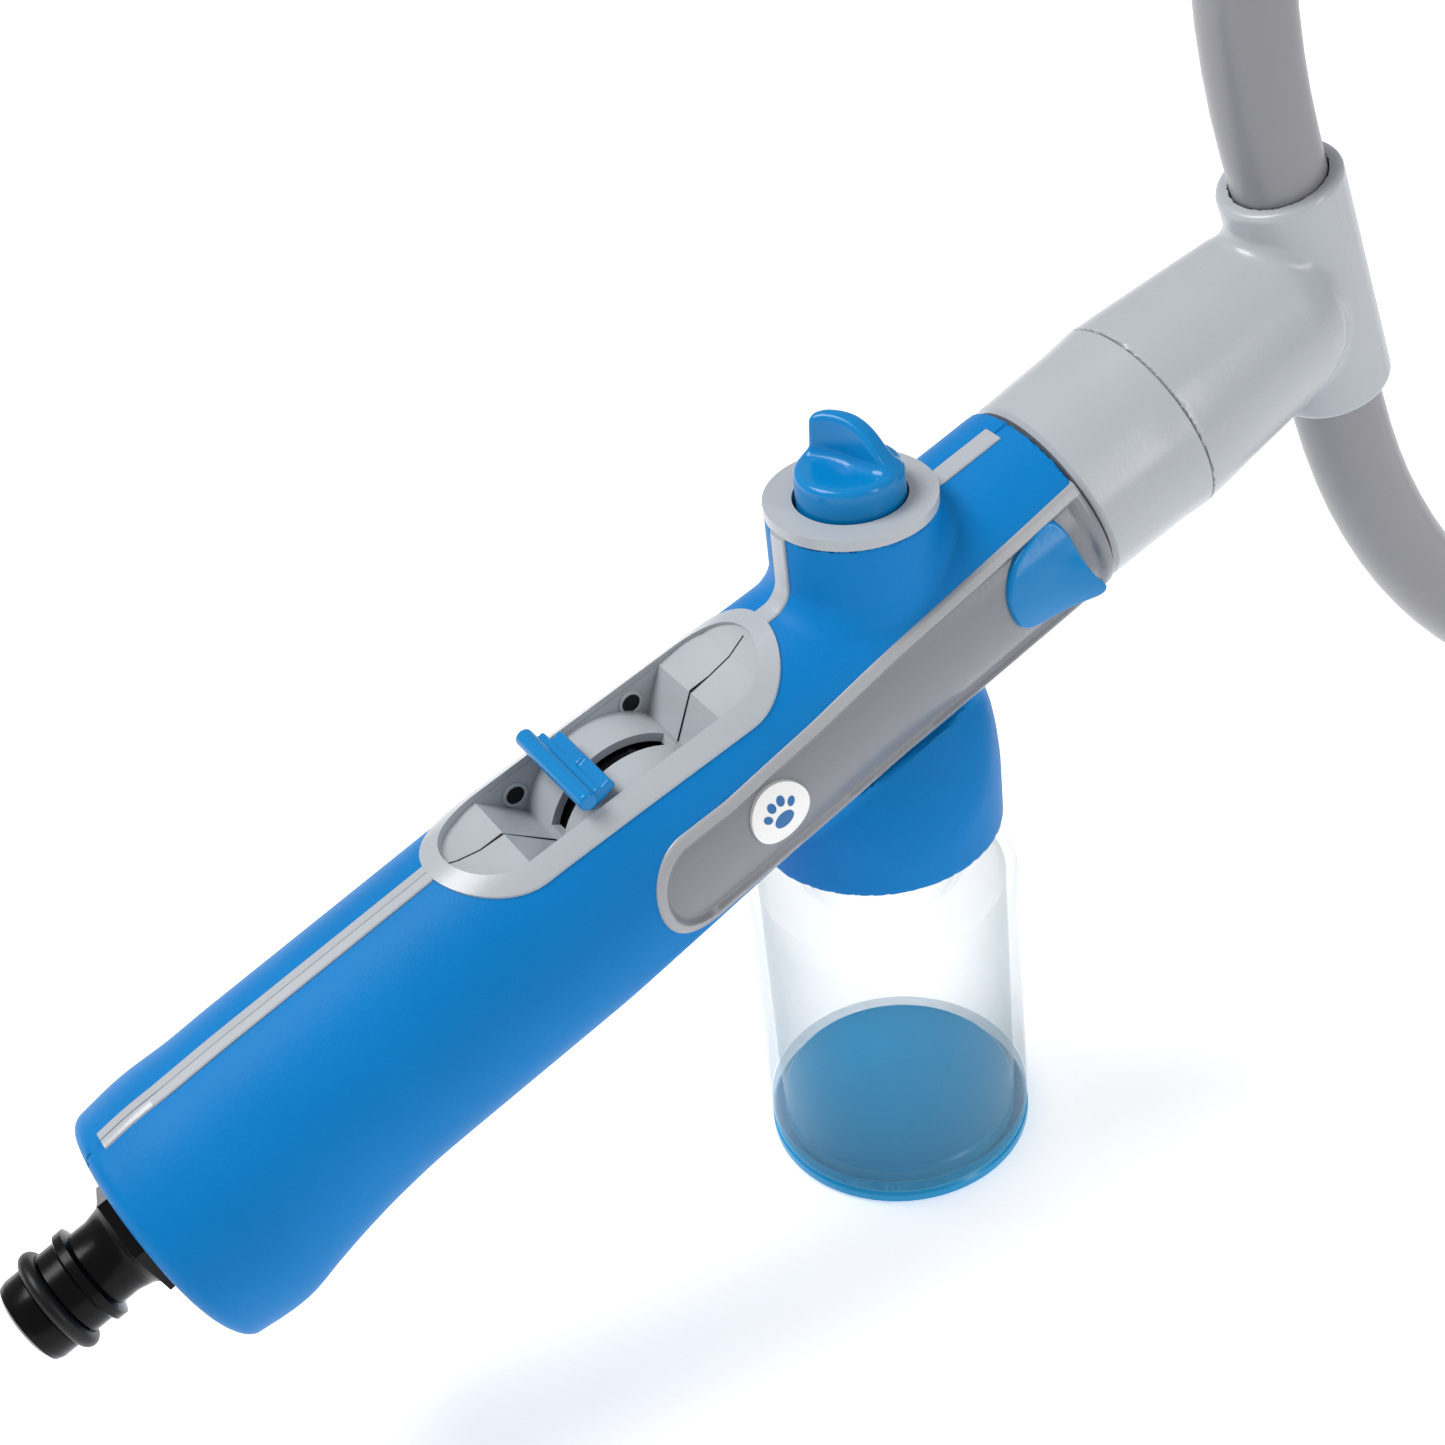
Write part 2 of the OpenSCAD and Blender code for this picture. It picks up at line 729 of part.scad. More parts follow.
module bottle() {
    base_top = 6.5;
    wall = 2;
    color(clear) two_sectors(neck_tube_r - 0.5, lug_r, 80, 100, lug_z[0], lug_z[1]);
    color(clear) difference() {
        rotate_extrude() polygon([
            [0, base_top], [bottle_r + 0.3, base_top], [bottle_r, shoulder_z - 2.2],
            [bottle_r - 0.6, shoulder_z - 0.7], [bottle_r - 2.2, shoulder_z], [neck_tube_r, shoulder_z],
            [neck_tube_r, neck_top_z], [0, neck_top_z],
        ]);
        rotate_extrude() polygon([
            [0, base_top - 1], [bottle_r - wall - 0.3, base_top - 1],
            [bottle_r - wall - 0.3, shoulder_z - 3],
            [bottle_r - wall - 1.6, shoulder_z - wall], [neck_tube_r - wall, shoulder_z - wall],
            [neck_tube_r - wall, neck_top_z + 1], [0, neck_top_z + 1],
        ]);
    }
}

module base_seal() {
    color(clear) translate([0, 0, 3.2]) difference() {
        cylinder(r = bottle_r + 0.1, h = 3.3);
        translate([0, 0, -1]) cylinder(r = bottle_r - 2.35, h = 6);
    }
}

module bottle_base() {
    color(blue) rotate_extrude() polygon([
        [0, 0], [bottle_r - 0.5, 0], [bottle_r + 0.3, 0.8], [bottle_r + 0.3, 2.4], [bottle_r - 0.4, 3.2],
        [bottle_r - 2.4, 3.2], [bottle_r - 2.4, 6.4], [bottle_r - 3, 7], [0, 7],
    ]);
}

// ---- Coupling ----

module outlet_spigot() {
    color(pale_grey) in_handle() difference() {
        union() {
            rod_x(pipe_r - 0.05, 8, 30);
            rod_x(spigot_r, 29, spigot_end);
            rod_x(9.6, 30.5, 33);
        }
        for (x = [52, 57]) difference() {
            rod_x(spigot_r + 1, x, x + 2.4);
            rod_x(spigot_r - 1.3, x - 0.1, x + 2.5);
        }
        rod_x(pipe_bore, 0, spigot_end + 1);
        rotate([0, handle_tilt, 0]) cylinder(r = chamber_r, h = 80, center = true);
    }
}

module spigot_o_rings() {
    color(black) in_handle() for (x = [53.2, 58.2]) ring_x(spigot_r - 0.62, 0.67, x);
}

// Button with a pad on the handle's side and a hook that holds the collar
module release_button(side) {
    color(blue) in_handle() mirrored(side) {
        difference() {
            intersection() {
                grip_form(-0.9, 10, 40);
                side_prism(1, pad_y) button_outline(0);
            }
        }
        // ridge for the thumb along the front edge
        intersection() {
            side_prism(1, pad_y) button_outline(0);
            translate([0, 0, button_spot[1] - 7]) linear_extrude(height = 14) polygon([
                [28, 17], [28, 20], [33.5, 21.2], [36.6, 24.6], [button_front, 24.9], [button_front, 17],
            ]);
        }
        // arm through the end of the shell, with its hook
        translate([31, 13, -4]) cube([17.8, 2.2, 8]);
        translate([31, 13, -4]) cube([5, 4, 8]);
        translate([46.6, 15, -4]) cube([2.2, 2.1, 8]);
    }
}

module left_release_button() {
    release_button(1);
}

module right_release_button() {
    release_button(-1);
}

// Spring that pushes the button out, as a stack of flat turns
module button_spring(side) {
    color(steel) in_handle() mirrored(side) translate([25.5, spring_seat_y + 0.05, 2.5]) for (i = [0:5])
        translate([0, i * spring_pitch + 0.4, 0]) rotate([-90, 0, 0]) rotate_extrude()
            translate([2, 0]) circle(r = 0.35, $fn = 16);
}

module left_button_spring() {
    button_spring(1);
}

module right_button_spring() {
    button_spring(-1);
}

module collar() {
    color(pale_grey) in_handle() turned() polygon([
        [16.6, collar_x[0]], [18.5, collar_x[0]], [19.2, collar_x[0] + 0.9], [collar_r - 0.45, 60],
        [collar_r, collar_x[1] - 0.3], [collar_r - 0.3, collar_x[1]], [16.6, collar_x[1]],
        [16.6, groove_x[1]], [17.95, groove_x[1]], [17.95, groove_x[0]], [16.6, groove_x[0]],
    ]);
}

module tee_body() {
    color(pale_grey) in_handle() difference() {
        union() {
            turned() polygon([
                [0, 64], [16.55, 64], [16.55, collar_x[1] + 0.02], [collar_r - 0.3, collar_x[1] + 0.02],
                [collar_r, collar_x[1] + 0.3], [collar_r - 0.35, 72], [18.1, 90], [17.3, 98.5],
                [16.2, 102], [14, 105], [11, 107.2], [7, 108.6], [0, 109],
            ]);
            turned() polygon([[0, 51.5], [16.55, 51.5], [16.55, 65], [0, 65]]);
            rod_x(sleeve_r, 46, 60);
            translate([socket_x, 0, 0]) rotate_extrude() polygon([
                [0, socket_span[0]], [socket_r - 0.9, socket_span[0]], [socket_r, socket_span[0] + 0.9],
                [socket_r, socket_span[1] - 1.2], [socket_r - 1.2, socket_span[1]], [0, socket_span[1]],
            ]);
        }
        rod_x(spigot_r + fit_gap, 40, 64.5);
        rod_x(pipe_bore, 60, socket_x);
        // bore for the tube's two ends, narrower between them
        translate([socket_x, 0, chamber_half]) cylinder(r = tube_r + 0.03, h = 40);
        translate([socket_x, 0, -chamber_half - 40]) cylinder(r = tube_r + 0.03, h = 40);
        translate([socket_x, 0, -20]) cylinder(r = tube_r - tube_wall, h = 40);
        for (z = [-19, 16.6]) translate([socket_x, 0, z]) cylinder(r = tube_r + 1.25, h = 2.4);
    }
}

module tube_o_rings() {
    color(black) in_handle() for (z = [-17.8, 17.8])
        translate([socket_x, 0, z]) rotate_extrude() translate([tube_r + 0.64, 0]) circle(r = 0.6, $fn = 24);
}

// ---- Hoop ----

// Places children at a spot on the far arc of the hoop, with +X pointing at the arc's centre
module at_far_arc(angle) {
    translate([socket_x + hoop_r, 0, 0]) rotate([0, -angle, 0]) translate([far_r, 0, 0]) rotate([0, 0, 180])
        children();
}

function nozzle_angle(i) = -nozzle_span / 2 + nozzle_span * i / (nozzle_count - 1);

module nozzle_form(bore) {
    difference() {
        union() {
            rod_x(2, tube_r - tube_wall - 0.8, tube_r);
            rod_x(3.1, tube_r - 0.5, tube_r + 1);
        }
        if (bore > 0) rod_x(bore, tube_r - 4, tube_r + 4);
    }
}

// Solid of the hoop's path with the given section radius
module hoop_path(r) {
    translate([socket_x, 0, 0]) for (up = [0, 1]) mirror([0, 0, up]) {
        translate([0, 0, chamber_half + 0.3]) cylinder(r = r, h = straight_half - chamber_half - 0.3);
        translate([hoop_r, 0, straight_half]) rotate([90, 0, 0]) rotate([0, 0, 90])
            rotate_extrude(angle = 90)
            translate([hoop_r, 0]) circle(r = r, $fn = 48);
    }
    translate([socket_x + hoop_r, 0, 0]) rotate([90, 0, 0]) rotate([0, 0, -90]) rotate_extrude(angle = 180)
        translate([far_r, 0]) circle(r = r, $fn = 48);
}

module hoop_tube() {
    color(mid_grey) in_handle() difference() {
        hoop_path(tube_r);
        hoop_path(tube_r - tube_wall);
        for (up = [0, 1]) translate([socket_x, 0, 0]) mirror([0, 0, up])
            translate([0, 0, 2]) cylinder(r = tube_r - tube_wall, h = 12);
        for (i = [0:nozzle_count - 1]) at_far_arc(nozzle_angle(i)) nozzle_form(0);
    }
}

module spray_nozzles() {
    color(pale_grey) in_handle() for (i = [0:nozzle_count - 1]) at_far_arc(nozzle_angle(i)) nozzle_form(0.6);
}

// ---- Assembly ----

left_shell();
right_shell();
left_grip();
right_grip();
left_side_panel();
right_side_panel();
side_badge();
shell_screws();
hose_adaptor();
adaptor_o_ring();
adaptor_washer();
inlet_tube();
valve_body();
valve_rotor();
rotor_o_rings();
lever_yoke();
thumb_lever();
flow_tube();
mixing_chamber();
knob_bezel();
selector_spindle();
spindle_o_rings();
selector_knob();
pickup_valve_ball();
bottle_dome();
neck_gasket();
bottle();
base_seal();
bottle_base();
outlet_spigot();
spigot_o_rings();
left_release_button();
right_release_button();
left_button_spring();
right_button_spring();
collar();
tee_body();
tube_o_rings();
hoop_tube();
spray_nozzles();
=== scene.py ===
import json
import math
import bpy
import numpy as np
from mathutils import Matrix


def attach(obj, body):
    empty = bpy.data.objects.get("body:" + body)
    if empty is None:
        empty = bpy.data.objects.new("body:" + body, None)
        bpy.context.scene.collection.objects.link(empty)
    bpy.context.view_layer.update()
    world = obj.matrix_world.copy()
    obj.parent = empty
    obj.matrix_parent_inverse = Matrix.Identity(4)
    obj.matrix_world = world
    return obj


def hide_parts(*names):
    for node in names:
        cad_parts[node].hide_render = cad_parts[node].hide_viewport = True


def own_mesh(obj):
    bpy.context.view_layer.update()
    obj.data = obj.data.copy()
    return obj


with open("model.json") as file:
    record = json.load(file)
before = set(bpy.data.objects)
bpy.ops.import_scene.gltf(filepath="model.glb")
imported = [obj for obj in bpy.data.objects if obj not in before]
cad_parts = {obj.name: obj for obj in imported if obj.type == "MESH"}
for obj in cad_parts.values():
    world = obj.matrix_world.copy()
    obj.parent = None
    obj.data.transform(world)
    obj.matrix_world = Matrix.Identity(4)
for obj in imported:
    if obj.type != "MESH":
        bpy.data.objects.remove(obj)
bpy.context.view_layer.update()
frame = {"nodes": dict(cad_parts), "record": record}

# ---- Floor, lights and camera ----
# A white sheet lies under the sprayer, with a slight glow of its own. A square key panel hangs behind it at
# the upper left, and a tall narrow panel in front puts the long highlight on its near side.

floor_mesh = bpy.data.meshes.new("studio_floor")
floor_mesh.from_pydata([(-8, -8, 0), (8, -8, 0), (8, 8, 0), (-8, 8, 0)], [], [(0, 1, 2, 3)])
studio_floor = bpy.data.objects.new("studio_floor", floor_mesh)
bpy.context.collection.objects.link(studio_floor)

paper = bpy.data.materials.new("white_paper")
paper.use_nodes = True
paper_shader = paper.node_tree.nodes["Principled BSDF"]
paper_shader.inputs["Base Color"].default_value = (0.93, 0.93, 0.935, 1)
paper_shader.inputs["Roughness"].default_value = 0.85
paper_shader.inputs["Specular IOR Level"].default_value = 0.1
paper_shader.inputs["Emission Color"].default_value = (1, 1, 1, 1)
paper_shader.inputs["Emission Strength"].default_value = 0.40
floor_mesh.materials.append(paper)

studio_air = bpy.data.worlds.new("studio_air")
bpy.context.scene.world = studio_air
studio_air.use_nodes = True
studio_air.node_tree.nodes["Background"].inputs["Color"].default_value = (1, 1, 1, 1)
studio_air.node_tree.nodes["Background"].inputs["Strength"].default_value = 0.47


def soft_panel(name, place, aim, width, height, power):
    """A rectangular lamp at one point that faces another."""
    lamp = bpy.data.lights.new(name, "AREA")
    lamp.shape = "RECTANGLE"
    lamp.size, lamp.size_y, lamp.energy = width, height, power
    holder = bpy.data.objects.new(name, lamp)
    bpy.context.collection.objects.link(holder)
    back = np.array(place, float) - np.array(aim, float)
    back /= np.linalg.norm(back)
    side = np.cross((0, 0, 1), back)
    side /= np.linalg.norm(side)
    turn = np.eye(4)
    turn[:3, 0], turn[:3, 1], turn[:3, 2], turn[:3, 3] = side, np.cross(back, side), back, place
    holder.matrix_world = Matrix(turn.tolist())


soft_panel("key_panel", (-0.55, 0.35, 1.15), (0.03, 0, 0.1), 0.6, 0.6, 13.0)
soft_panel("strip_panel", (0.42, -1.1, 0.62), (0.08, 0, 0.15), 0.12, 0.9, 4.2)

camera_turn, camera_drop, camera_roll = (math.radians(a) for a in (27.58, 36.67, -7.36))
gaze = np.array([math.sin(camera_turn) * math.cos(camera_drop),
                 math.cos(camera_turn) * math.cos(camera_drop),
                 -math.sin(camera_drop)])
level = np.array([math.cos(camera_turn), -math.sin(camera_turn), 0])
upright = np.cross(level, gaze)
view_turn = np.eye(4)
view_turn[:3, 0] = math.cos(camera_roll) * level + math.sin(camera_roll) * upright
view_turn[:3, 1] = -math.sin(camera_roll) * level + math.cos(camera_roll) * upright
view_turn[:3, 2] = -gaze
view_turn[:3, 3] = (-0.18108, -0.28917, 0.35857)
lens = bpy.data.cameras.new("camera")
lens.lens, lens.sensor_width, lens.clip_start = 58.0, 36, 0.01
camera = bpy.data.objects.new("camera", lens)
bpy.context.collection.objects.link(camera)
camera.matrix_world = Matrix(view_turn.tolist())
bpy.context.scene.camera = camera
bpy.context.scene.view_settings.view_transform = "Standard"

# ---- Mouldings that keep the shape of their engineering model ----
# Each is merged and shaded smooth, and its shading breaks only at its real corners.


def plastic(name, colour, rough, grain=0.02, grain_size=900, gloss_level=0.5, shade=0.04):
    """Moulded plastic: colour and gloss vary slightly over centimetres, and a fine grain gives the bump."""
    material = bpy.data.materials.new(name)
    material.use_nodes = True
    nodes, links = material.node_tree.nodes, material.node_tree.links
    shader = nodes["Principled BSDF"]
    place = nodes.new("ShaderNodeTexCoord")
    broad = nodes.new("ShaderNodeTexNoise")
    broad.inputs["Scale"].default_value = 38
    broad.inputs["Detail"].default_value = 4
    links.new(place.outputs["Object"], broad.inputs["Vector"])
    tint = nodes.new("ShaderNodeValToRGB")
    tint.color_ramp.elements[0].position, tint.color_ramp.elements[1].position = 0.3, 0.7
    tint.color_ramp.elements[0].color = [c * (1 - shade) for c in colour] + [1]
    tint.color_ramp.elements[1].color = [min(1, c * (1 + shade)) for c in colour] + [1]
    links.new(broad.outputs["Fac"], tint.inputs["Fac"])
    links.new(tint.outputs["Color"], shader.inputs["Base Color"])
    fine = nodes.new("ShaderNodeTexNoise")
    fine.inputs["Scale"].default_value = grain_size
    fine.inputs["Detail"].default_value = 3
    links.new(place.outputs["Object"], fine.inputs["Vector"])
    gloss = nodes.new("ShaderNodeMapRange")
    gloss.inputs["To Min"].default_value, gloss.inputs["To Max"].default_value = rough - 0.05, rough + 0.06
    links.new(broad.outputs["Fac"], gloss.inputs["Value"])
    links.new(gloss.outputs["Result"], shader.inputs["Roughness"])
    bump = nodes.new("ShaderNodeBump")
    bump.inputs["Strength"].default_value = grain
    bump.inputs["Distance"].default_value = 0.0006
    links.new(fine.outputs["Fac"], bump.inputs["Height"])
    links.new(bump.outputs["Normal"], shader.inputs["Normal"])
    shader.inputs["Specular IOR Level"].default_value = gloss_level
    return material


grey_moulding = plastic("grey_moulding", (0.39, 0.415, 0.445), 0.27, grain=0.035, grain_size=1400,
                        shade=0.02)
grip_skin = plastic("blue_grip_skin", (0.0, 0.172, 0.475), 0.48, grain=0.12, grain_size=1800,
                    gloss_level=0.12)
blue_moulding = plastic("blue_moulding", (0.0, 0.190, 0.48), 0.2, grain=0.03, gloss_level=0.3, shade=0.02)
# The side trim is one plastic. The dish takes its own grey, and the raised border takes a lighter grey that is
# painted highlight.
panel_moulding = plastic("panel_moulding", (0.195, 0.205, 0.228), 0.28, grain=0.05, grain_size=1500,
                         shade=0.02)
painted_highlight_border = plastic("painted_highlight_border", (0.33, 0.335, 0.35), 0.26, grain=0.03, grain_size=1500, shade=0.02)
black_moulding = plastic("black_moulding", (0.002, 0.002, 0.0025), 0.22, grain=0.04, gloss_level=0.12,
                         shade=0.15)
seal_rubber = plastic("seal_rubber", (0.004, 0.004, 0.004), 0.4, grain=0.06, gloss_level=0.25, shade=0.2)
steel_wire = plastic("steel_wire", (0.5, 0.5, 0.5), 0.3, grain=0.05, shade=0.08)
steel_wire.node_tree.nodes["Principled BSDF"].inputs["Metallic"].default_value = 1.0
tube_plastic = plastic("tube_plastic", (0.215, 0.215, 0.232), 0.3, grain=0.03, grain_size=700, shade=0.02)
badge_film = plastic("badge_film", (0.80, 0.80, 0.80), 0.25, grain=0.02, shade=0.02)


def clear_plastic(name, tint, rough, thin, thick):
    """Clear moulding: nearly see-through where it faces the eye, denser where it is seen edge on."""
    material = plastic(name, tint, rough, grain=0.015, grain_size=260, shade=0.01)
    nodes, links = material.node_tree.nodes, material.node_tree.links
    edge_on = nodes.new("ShaderNodeLayerWeight")
    edge_on.inputs["Blend"].default_value = 0.14
    density = nodes.new("ShaderNodeMapRange")
    density.inputs["From Min"].default_value = 0.1
    density.inputs["To Min"].default_value, density.inputs["To Max"].default_value = thin, thick
    links.new(edge_on.outputs["Facing"], density.inputs["Value"])
    links.new(density.outputs["Result"], nodes["Principled BSDF"].inputs["Alpha"])
    return material


clear_moulding = clear_plastic("clear_moulding", (0.22, 0.33, 0.38), 0.06, 0.09, 0.95)
frosted_seal = clear_plastic("frosted_seal", (0.10, 0.48, 0.72), 0.42, 0.3, 0.8)

finishes = {
    "shell": grey_moulding, "grip": grip_skin, "blue": blue_moulding, "panel": panel_moulding,
    "fitting": black_moulding, "seal": seal_rubber, "steel": steel_wire, "tube": tube_plastic,
    "badge": badge_film, "clear": clear_moulding,
}
slot_of = {s["node"]: s["material_slot"] for s in frame["record"]["subparts"]}
for node, part in frame["nodes"].items():
    part.data.materials.clear()
    part.data.materials.append(finishes[slot_of[node]])
    part.data.polygons.foreach_set("use_smooth", np.ones(len(part.data.polygons), bool))
    merge = part.modifiers.new("merge", "WELD")
    merge.merge_threshold = 1e-6
    corners = part.modifiers.new("corners", "EDGE_SPLIT")
    corners.split_angle = math.radians(28)

frame["nodes"]["base_seal"].data.materials[0] = frosted_seal
base_moulding = plastic("base_moulding", (0.01, 0.29, 0.58), 0.24, grain=0.03, gloss_level=0.3, shade=0.05)
frame["nodes"]["bottle_base"].data.materials[0] = base_moulding

# ---- Grip skin ----
# Soft blue skin moulded over the two shells, one half on each side. It runs over the pommel, up the knob
# boss and down round the dome in one surface, with rounded hollows where they meet, and is cut out round the
# trim pieces.

axis_height, tilt = 119.0, math.radians(18.8)
tilt_c, tilt_s = math.cos(tilt), math.sin(tilt)


def tilted(p):
    """Handle coordinates in mm (along, across, up from its axis) turned by the tilt and lifted, in metres."""
    along, across, up = p[..., 0], p[..., 1], p[..., 2]
    height = axis_height + along * tilt_s + up * tilt_c
    return np.stack([along * tilt_c - up * tilt_s, across, height], -1) / 1000


def upright_mm(p):
    """The same points in mm measured from the bottle's axis and the floor."""
    return tilted(p) * 1000


def even_curve(stations, reach):
    """Straight lines between stations, averaged over a short reach so that corners become gentle curves."""
    at = np.arange(-190, 120, 0.25)
    height = np.interp(at, [s[0] for s in stations], [s[1] for s in stations])
    window = np.hanning(2 * int(reach / 0.25) + 1)
    padded = np.pad(height, len(window) // 2, mode="edge")
    return at, np.convolve(padded, window / window.sum(), "valid")


grip_curve = even_curve([(-157, 21.0), (-149, 21.9), (-130, 22.4), (-72, 22.4), (-54, 21.7), (-30, 20.6),
                         (-8, 19.8), (30, 19.5), (42.4, 19.3)], 7)
pommel_curve = even_curve([(-157, 22.3), (-149, 23.4), (-144, 23.4), (-126, 18.3), (-112, 15.0)], 5)
dome_curve = even_curve([(70, 23.9), (92, 23.7), (98, 23.2), (102.6, 22.5), (107, 21.3), (112, 19.6),
                         (118, 16.5)], 3)


def rounded_end(side, end, r):
    """Distance to the corner of two faces, with the corner rounded to radius r."""
    inside = np.minimum(np.maximum(side + r, end + r), 0)
    return inside + np.hypot(np.maximum(side + r, 0), np.maximum(end + r, 0)) - r


def filleted(a, b, r):
    """Union of two distance fields, with a hollow fillet of radius r where they meet."""
    return np.maximum(r, np.minimum(a, b)) - np.hypot(np.maximum(r - a, 0), np.maximum(r - b, 0))


def stadium(along, across, x0, x1, r):
    """Distance to a slot outline: two round ends joined by straight sides."""
    return np.hypot(np.maximum(np.maximum(x0 - along, along - x1), 0), across) - r


panel_start, panel_end, panel_round = -50, 42.3, 10.5
panel_stations = [panel_start, -40, -20, 0, 24, 43.5]
panel_above = [10.5, 9.9, 10.2, 11.1, 11.9, 12.6]
panel_below = [10.5, 11.3, 12.9, 13.6, 13.0, 12.6]


def panel_distance(along, up):
    """Distance to the side panel's outline: its height above and below the axis, and a round end."""
    above, below = (np.interp(along, panel_stations, heights) for heights in (panel_above, panel_below))
    half = np.where(up > 0, above, below)
    round_end = np.hypot(along - panel_start, up) - panel_round
    return np.where(along < panel_start, round_end, np.abs(up) - half)


def grip_field(p):
    """Distance from the grip's outer surface: turned handle, pommel, boss and dome joined by fillets."""
    along, across, up = p[..., 0], p[..., 1], p[..., 2]
    w = upright_mm(p)
    from_axis = np.hypot(w[..., 0], w[..., 1])
    ends = np.maximum(-157 - along, along - 42.4)
    soft = np.where(along < -50, 1.7, 0.35)
    main = rounded_end(np.hypot(across, up) - np.interp(along, *grip_curve), ends, soft)
    pommel = rounded_end(np.hypot(across, up + 4.5) - np.interp(along, *pommel_curve), ends, soft)
    pommel = np.maximum(pommel, along + 112)
    boss = rounded_end(from_axis - 15.1, np.maximum(w[..., 2] - 148.2, 115 - w[..., 2]), 0.3)
    off_panel = panel_distance(along, up)
    boss = np.where(np.abs(across) > 6, np.maximum(boss, 0.5 - off_panel), boss)
    hollow = np.where(np.abs(across) > 6, 0.2 + 3.4 * np.clip((off_panel - 0.6) / 5, 0, 1), 3.6)
    dome_ends = np.maximum(79.4 - w[..., 2], w[..., 2] - 118)
    dome = rounded_end(from_axis - np.interp(w[..., 2], *dome_curve), dome_ends, 0.6)
    flank = 0.82 * (np.abs(across) - 15.9) + 0.57 * (up + 12.2)
    dome = rounded_end(dome, flank, 5.0)
    handle = filleted(main, pommel, 5.0)
    return filleted(filleted(handle, boss, hollow), dome, 2.0)


def skin_field(p):
    """The outer field less its inside, and less the openings for hose fitting, knob, recess and panels."""
    along, across, up = p[..., 0], p[..., 1], p[..., 2]
    w = upright_mm(p)
    from_axis = np.hypot(w[..., 0], w[..., 1])
    outer = grip_field(p)
    bare = np.hypot(across, up) - np.interp(along, *grip_curve)
    wall = np.where(w[..., 2] < 99, 2.0, 1.8)
    shell = np.maximum(outer, -(outer + wall))
    openings = [
        np.maximum(np.hypot(across, up) - 11.6, along + 150),
        np.maximum(np.hypot(across, up) - 17.8, 38 - along),
        np.maximum(from_axis - 13.6, 143 - w[..., 2]),
        np.maximum(from_axis - 21.8, w[..., 2] - 84),
        np.maximum(stadium(along, across, -71.5, -28.5, 12.7), 2 - up),
        np.maximum(np.maximum(panel_distance(along, up) + 1.0, 6 - np.abs(across)), -2.4 - bare),
        np.maximum(np.maximum(panel_distance(along, up) + 0.1, 6 - np.abs(across)), 0.1 - bare),
        np.maximum(np.maximum(panel_distance(along, up) + 1.0, 6 - np.abs(across)), 20 - along),
    ]
    for gap in openings:
        shell = np.maximum(shell, -gap)
    return shell


def crust(field, low, high, step):
    """Quads round a field's zero level: one point per crossed cell, at the mean of its crossed edges."""
    axes = [np.arange(a, b + step, step) for a, b in zip(low, high)]
    grid = np.stack(np.meshgrid(*axes, indexing="ij"), -1)
    value = field(grid)
    inside = value < 0
    cells = tuple(n - 1 for n in value.shape)
    total, count = np.zeros(cells + (3,)), np.zeros(cells)
    corner = [(i, j, k) for i in (0, 1) for j in (0, 1) for k in (0, 1)]

    def at(array, c):
        return array[c[0]:c[0] + cells[0], c[1]:c[1] + cells[1], c[2]:c[2] + cells[2]]

    for c in corner:
        for axis in range(3):
            if c[axis]:
                continue
            d = list(c)
            d[axis] = 1
            a, b = at(value, c), at(value, d)
            crossed = (a < 0) != (b < 0)
            t = np.where(crossed, a / np.where(crossed, a - b, 1), 0)
            total += crossed[..., None] * np.array(c, float)
            total[..., axis] += crossed * t
            count += crossed
    used = count > 0
    index = np.full(cells, -1)
    index[used] = np.arange(used.sum())
    where = np.argwhere(used)
    points = np.array([a[0] for a in axes]) + (where + total[used] / count[used][:, None]) * step
    quads = []
    for axis in range(3):
        u, v = (axis + 1) % 3, (axis + 2) % 3
        lower = [slice(None)] * 3
        upper = [slice(None)] * 3
        lower[axis], upper[axis] = slice(0, -1), slice(1, None)
        a, b = inside[tuple(lower)], inside[tuple(upper)]
        edge = np.argwhere(a != b)
        within = (edge[:, u] > 0) & (edge[:, v] > 0) & (edge[:, u] < cells[u]) & (edge[:, v] < cells[v])
        edge = edge[within]
        around = []
        for du, dv in ((1, 1), (0, 1), (0, 0), (1, 0)):
            cell = edge.copy()
            cell[:, u] -= du
            cell[:, v] -= dv
            around.append(index[tuple(cell.T)])
        quad = np.stack(around, 1)
        flip = ~a[tuple(edge.T)]
        quad[flip] = quad[flip][:, ::-1]
        quads.append(quad)
    return points, np.concatenate(quads)


def slope(field, p):
    """Gradient of a field by small central differences."""
    h = 0.04
    return np.stack([(field(p + d) - field(p - d)) / (2 * h) for d in np.eye(3) * h], -1)


def settled(field, points, quads, step, rounds=3):
    """Points are evened out over the surface and drawn back on to the zero level by Newton steps."""
    for turn in range(rounds + 1):
        if turn:
            total, count = np.zeros_like(points), np.zeros(len(points))
            for k in range(4):
                beside = points[quads[:, (k + 1) % 4]] + points[quads[:, (k + 3) % 4]]
                np.add.at(total, quads[:, k], beside)
                np.add.at(count, quads[:, k], 2)
            points = points + 0.5 * (total / count[:, None] - points)
        for _ in range(3):
            g = slope(field, points)
            move = -field(points)[:, None] * g / np.maximum((g * g).sum(-1, keepdims=True), 0.2)
            size = np.linalg.norm(move, axis=-1, keepdims=True)
            points = points + move * np.minimum(1, 0.5 * step / np.maximum(size, 1e-9))
    return points


def surface_piece(name, points, faces, material, body):
    """A mesh of computed points in metres, shaded smooth, that rides on a body."""
    mesh = bpy.data.meshes.new(name)
    mesh.from_pydata(points.tolist(), [], faces.tolist())
    mesh.polygons.foreach_set("use_smooth", np.ones(len(mesh.polygons), bool))
    mesh.materials.append(material)
    piece = bpy.data.objects.new(name, mesh)
    bpy.context.collection.objects.link(piece)
    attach(piece, body)
    return piece


def sharp_corners(piece, degrees):
    """Shading breaks only where faces meet at more than this angle."""
    corners = piece.modifiers.new("corners", "EDGE_SPLIT")
    corners.split_angle = math.radians(degrees)


def right_half(p):
    """The skin's near half, carried just past the centre plane so that the two halves overlap."""
    return np.maximum(skin_field(p), p[..., 1] - 0.15)


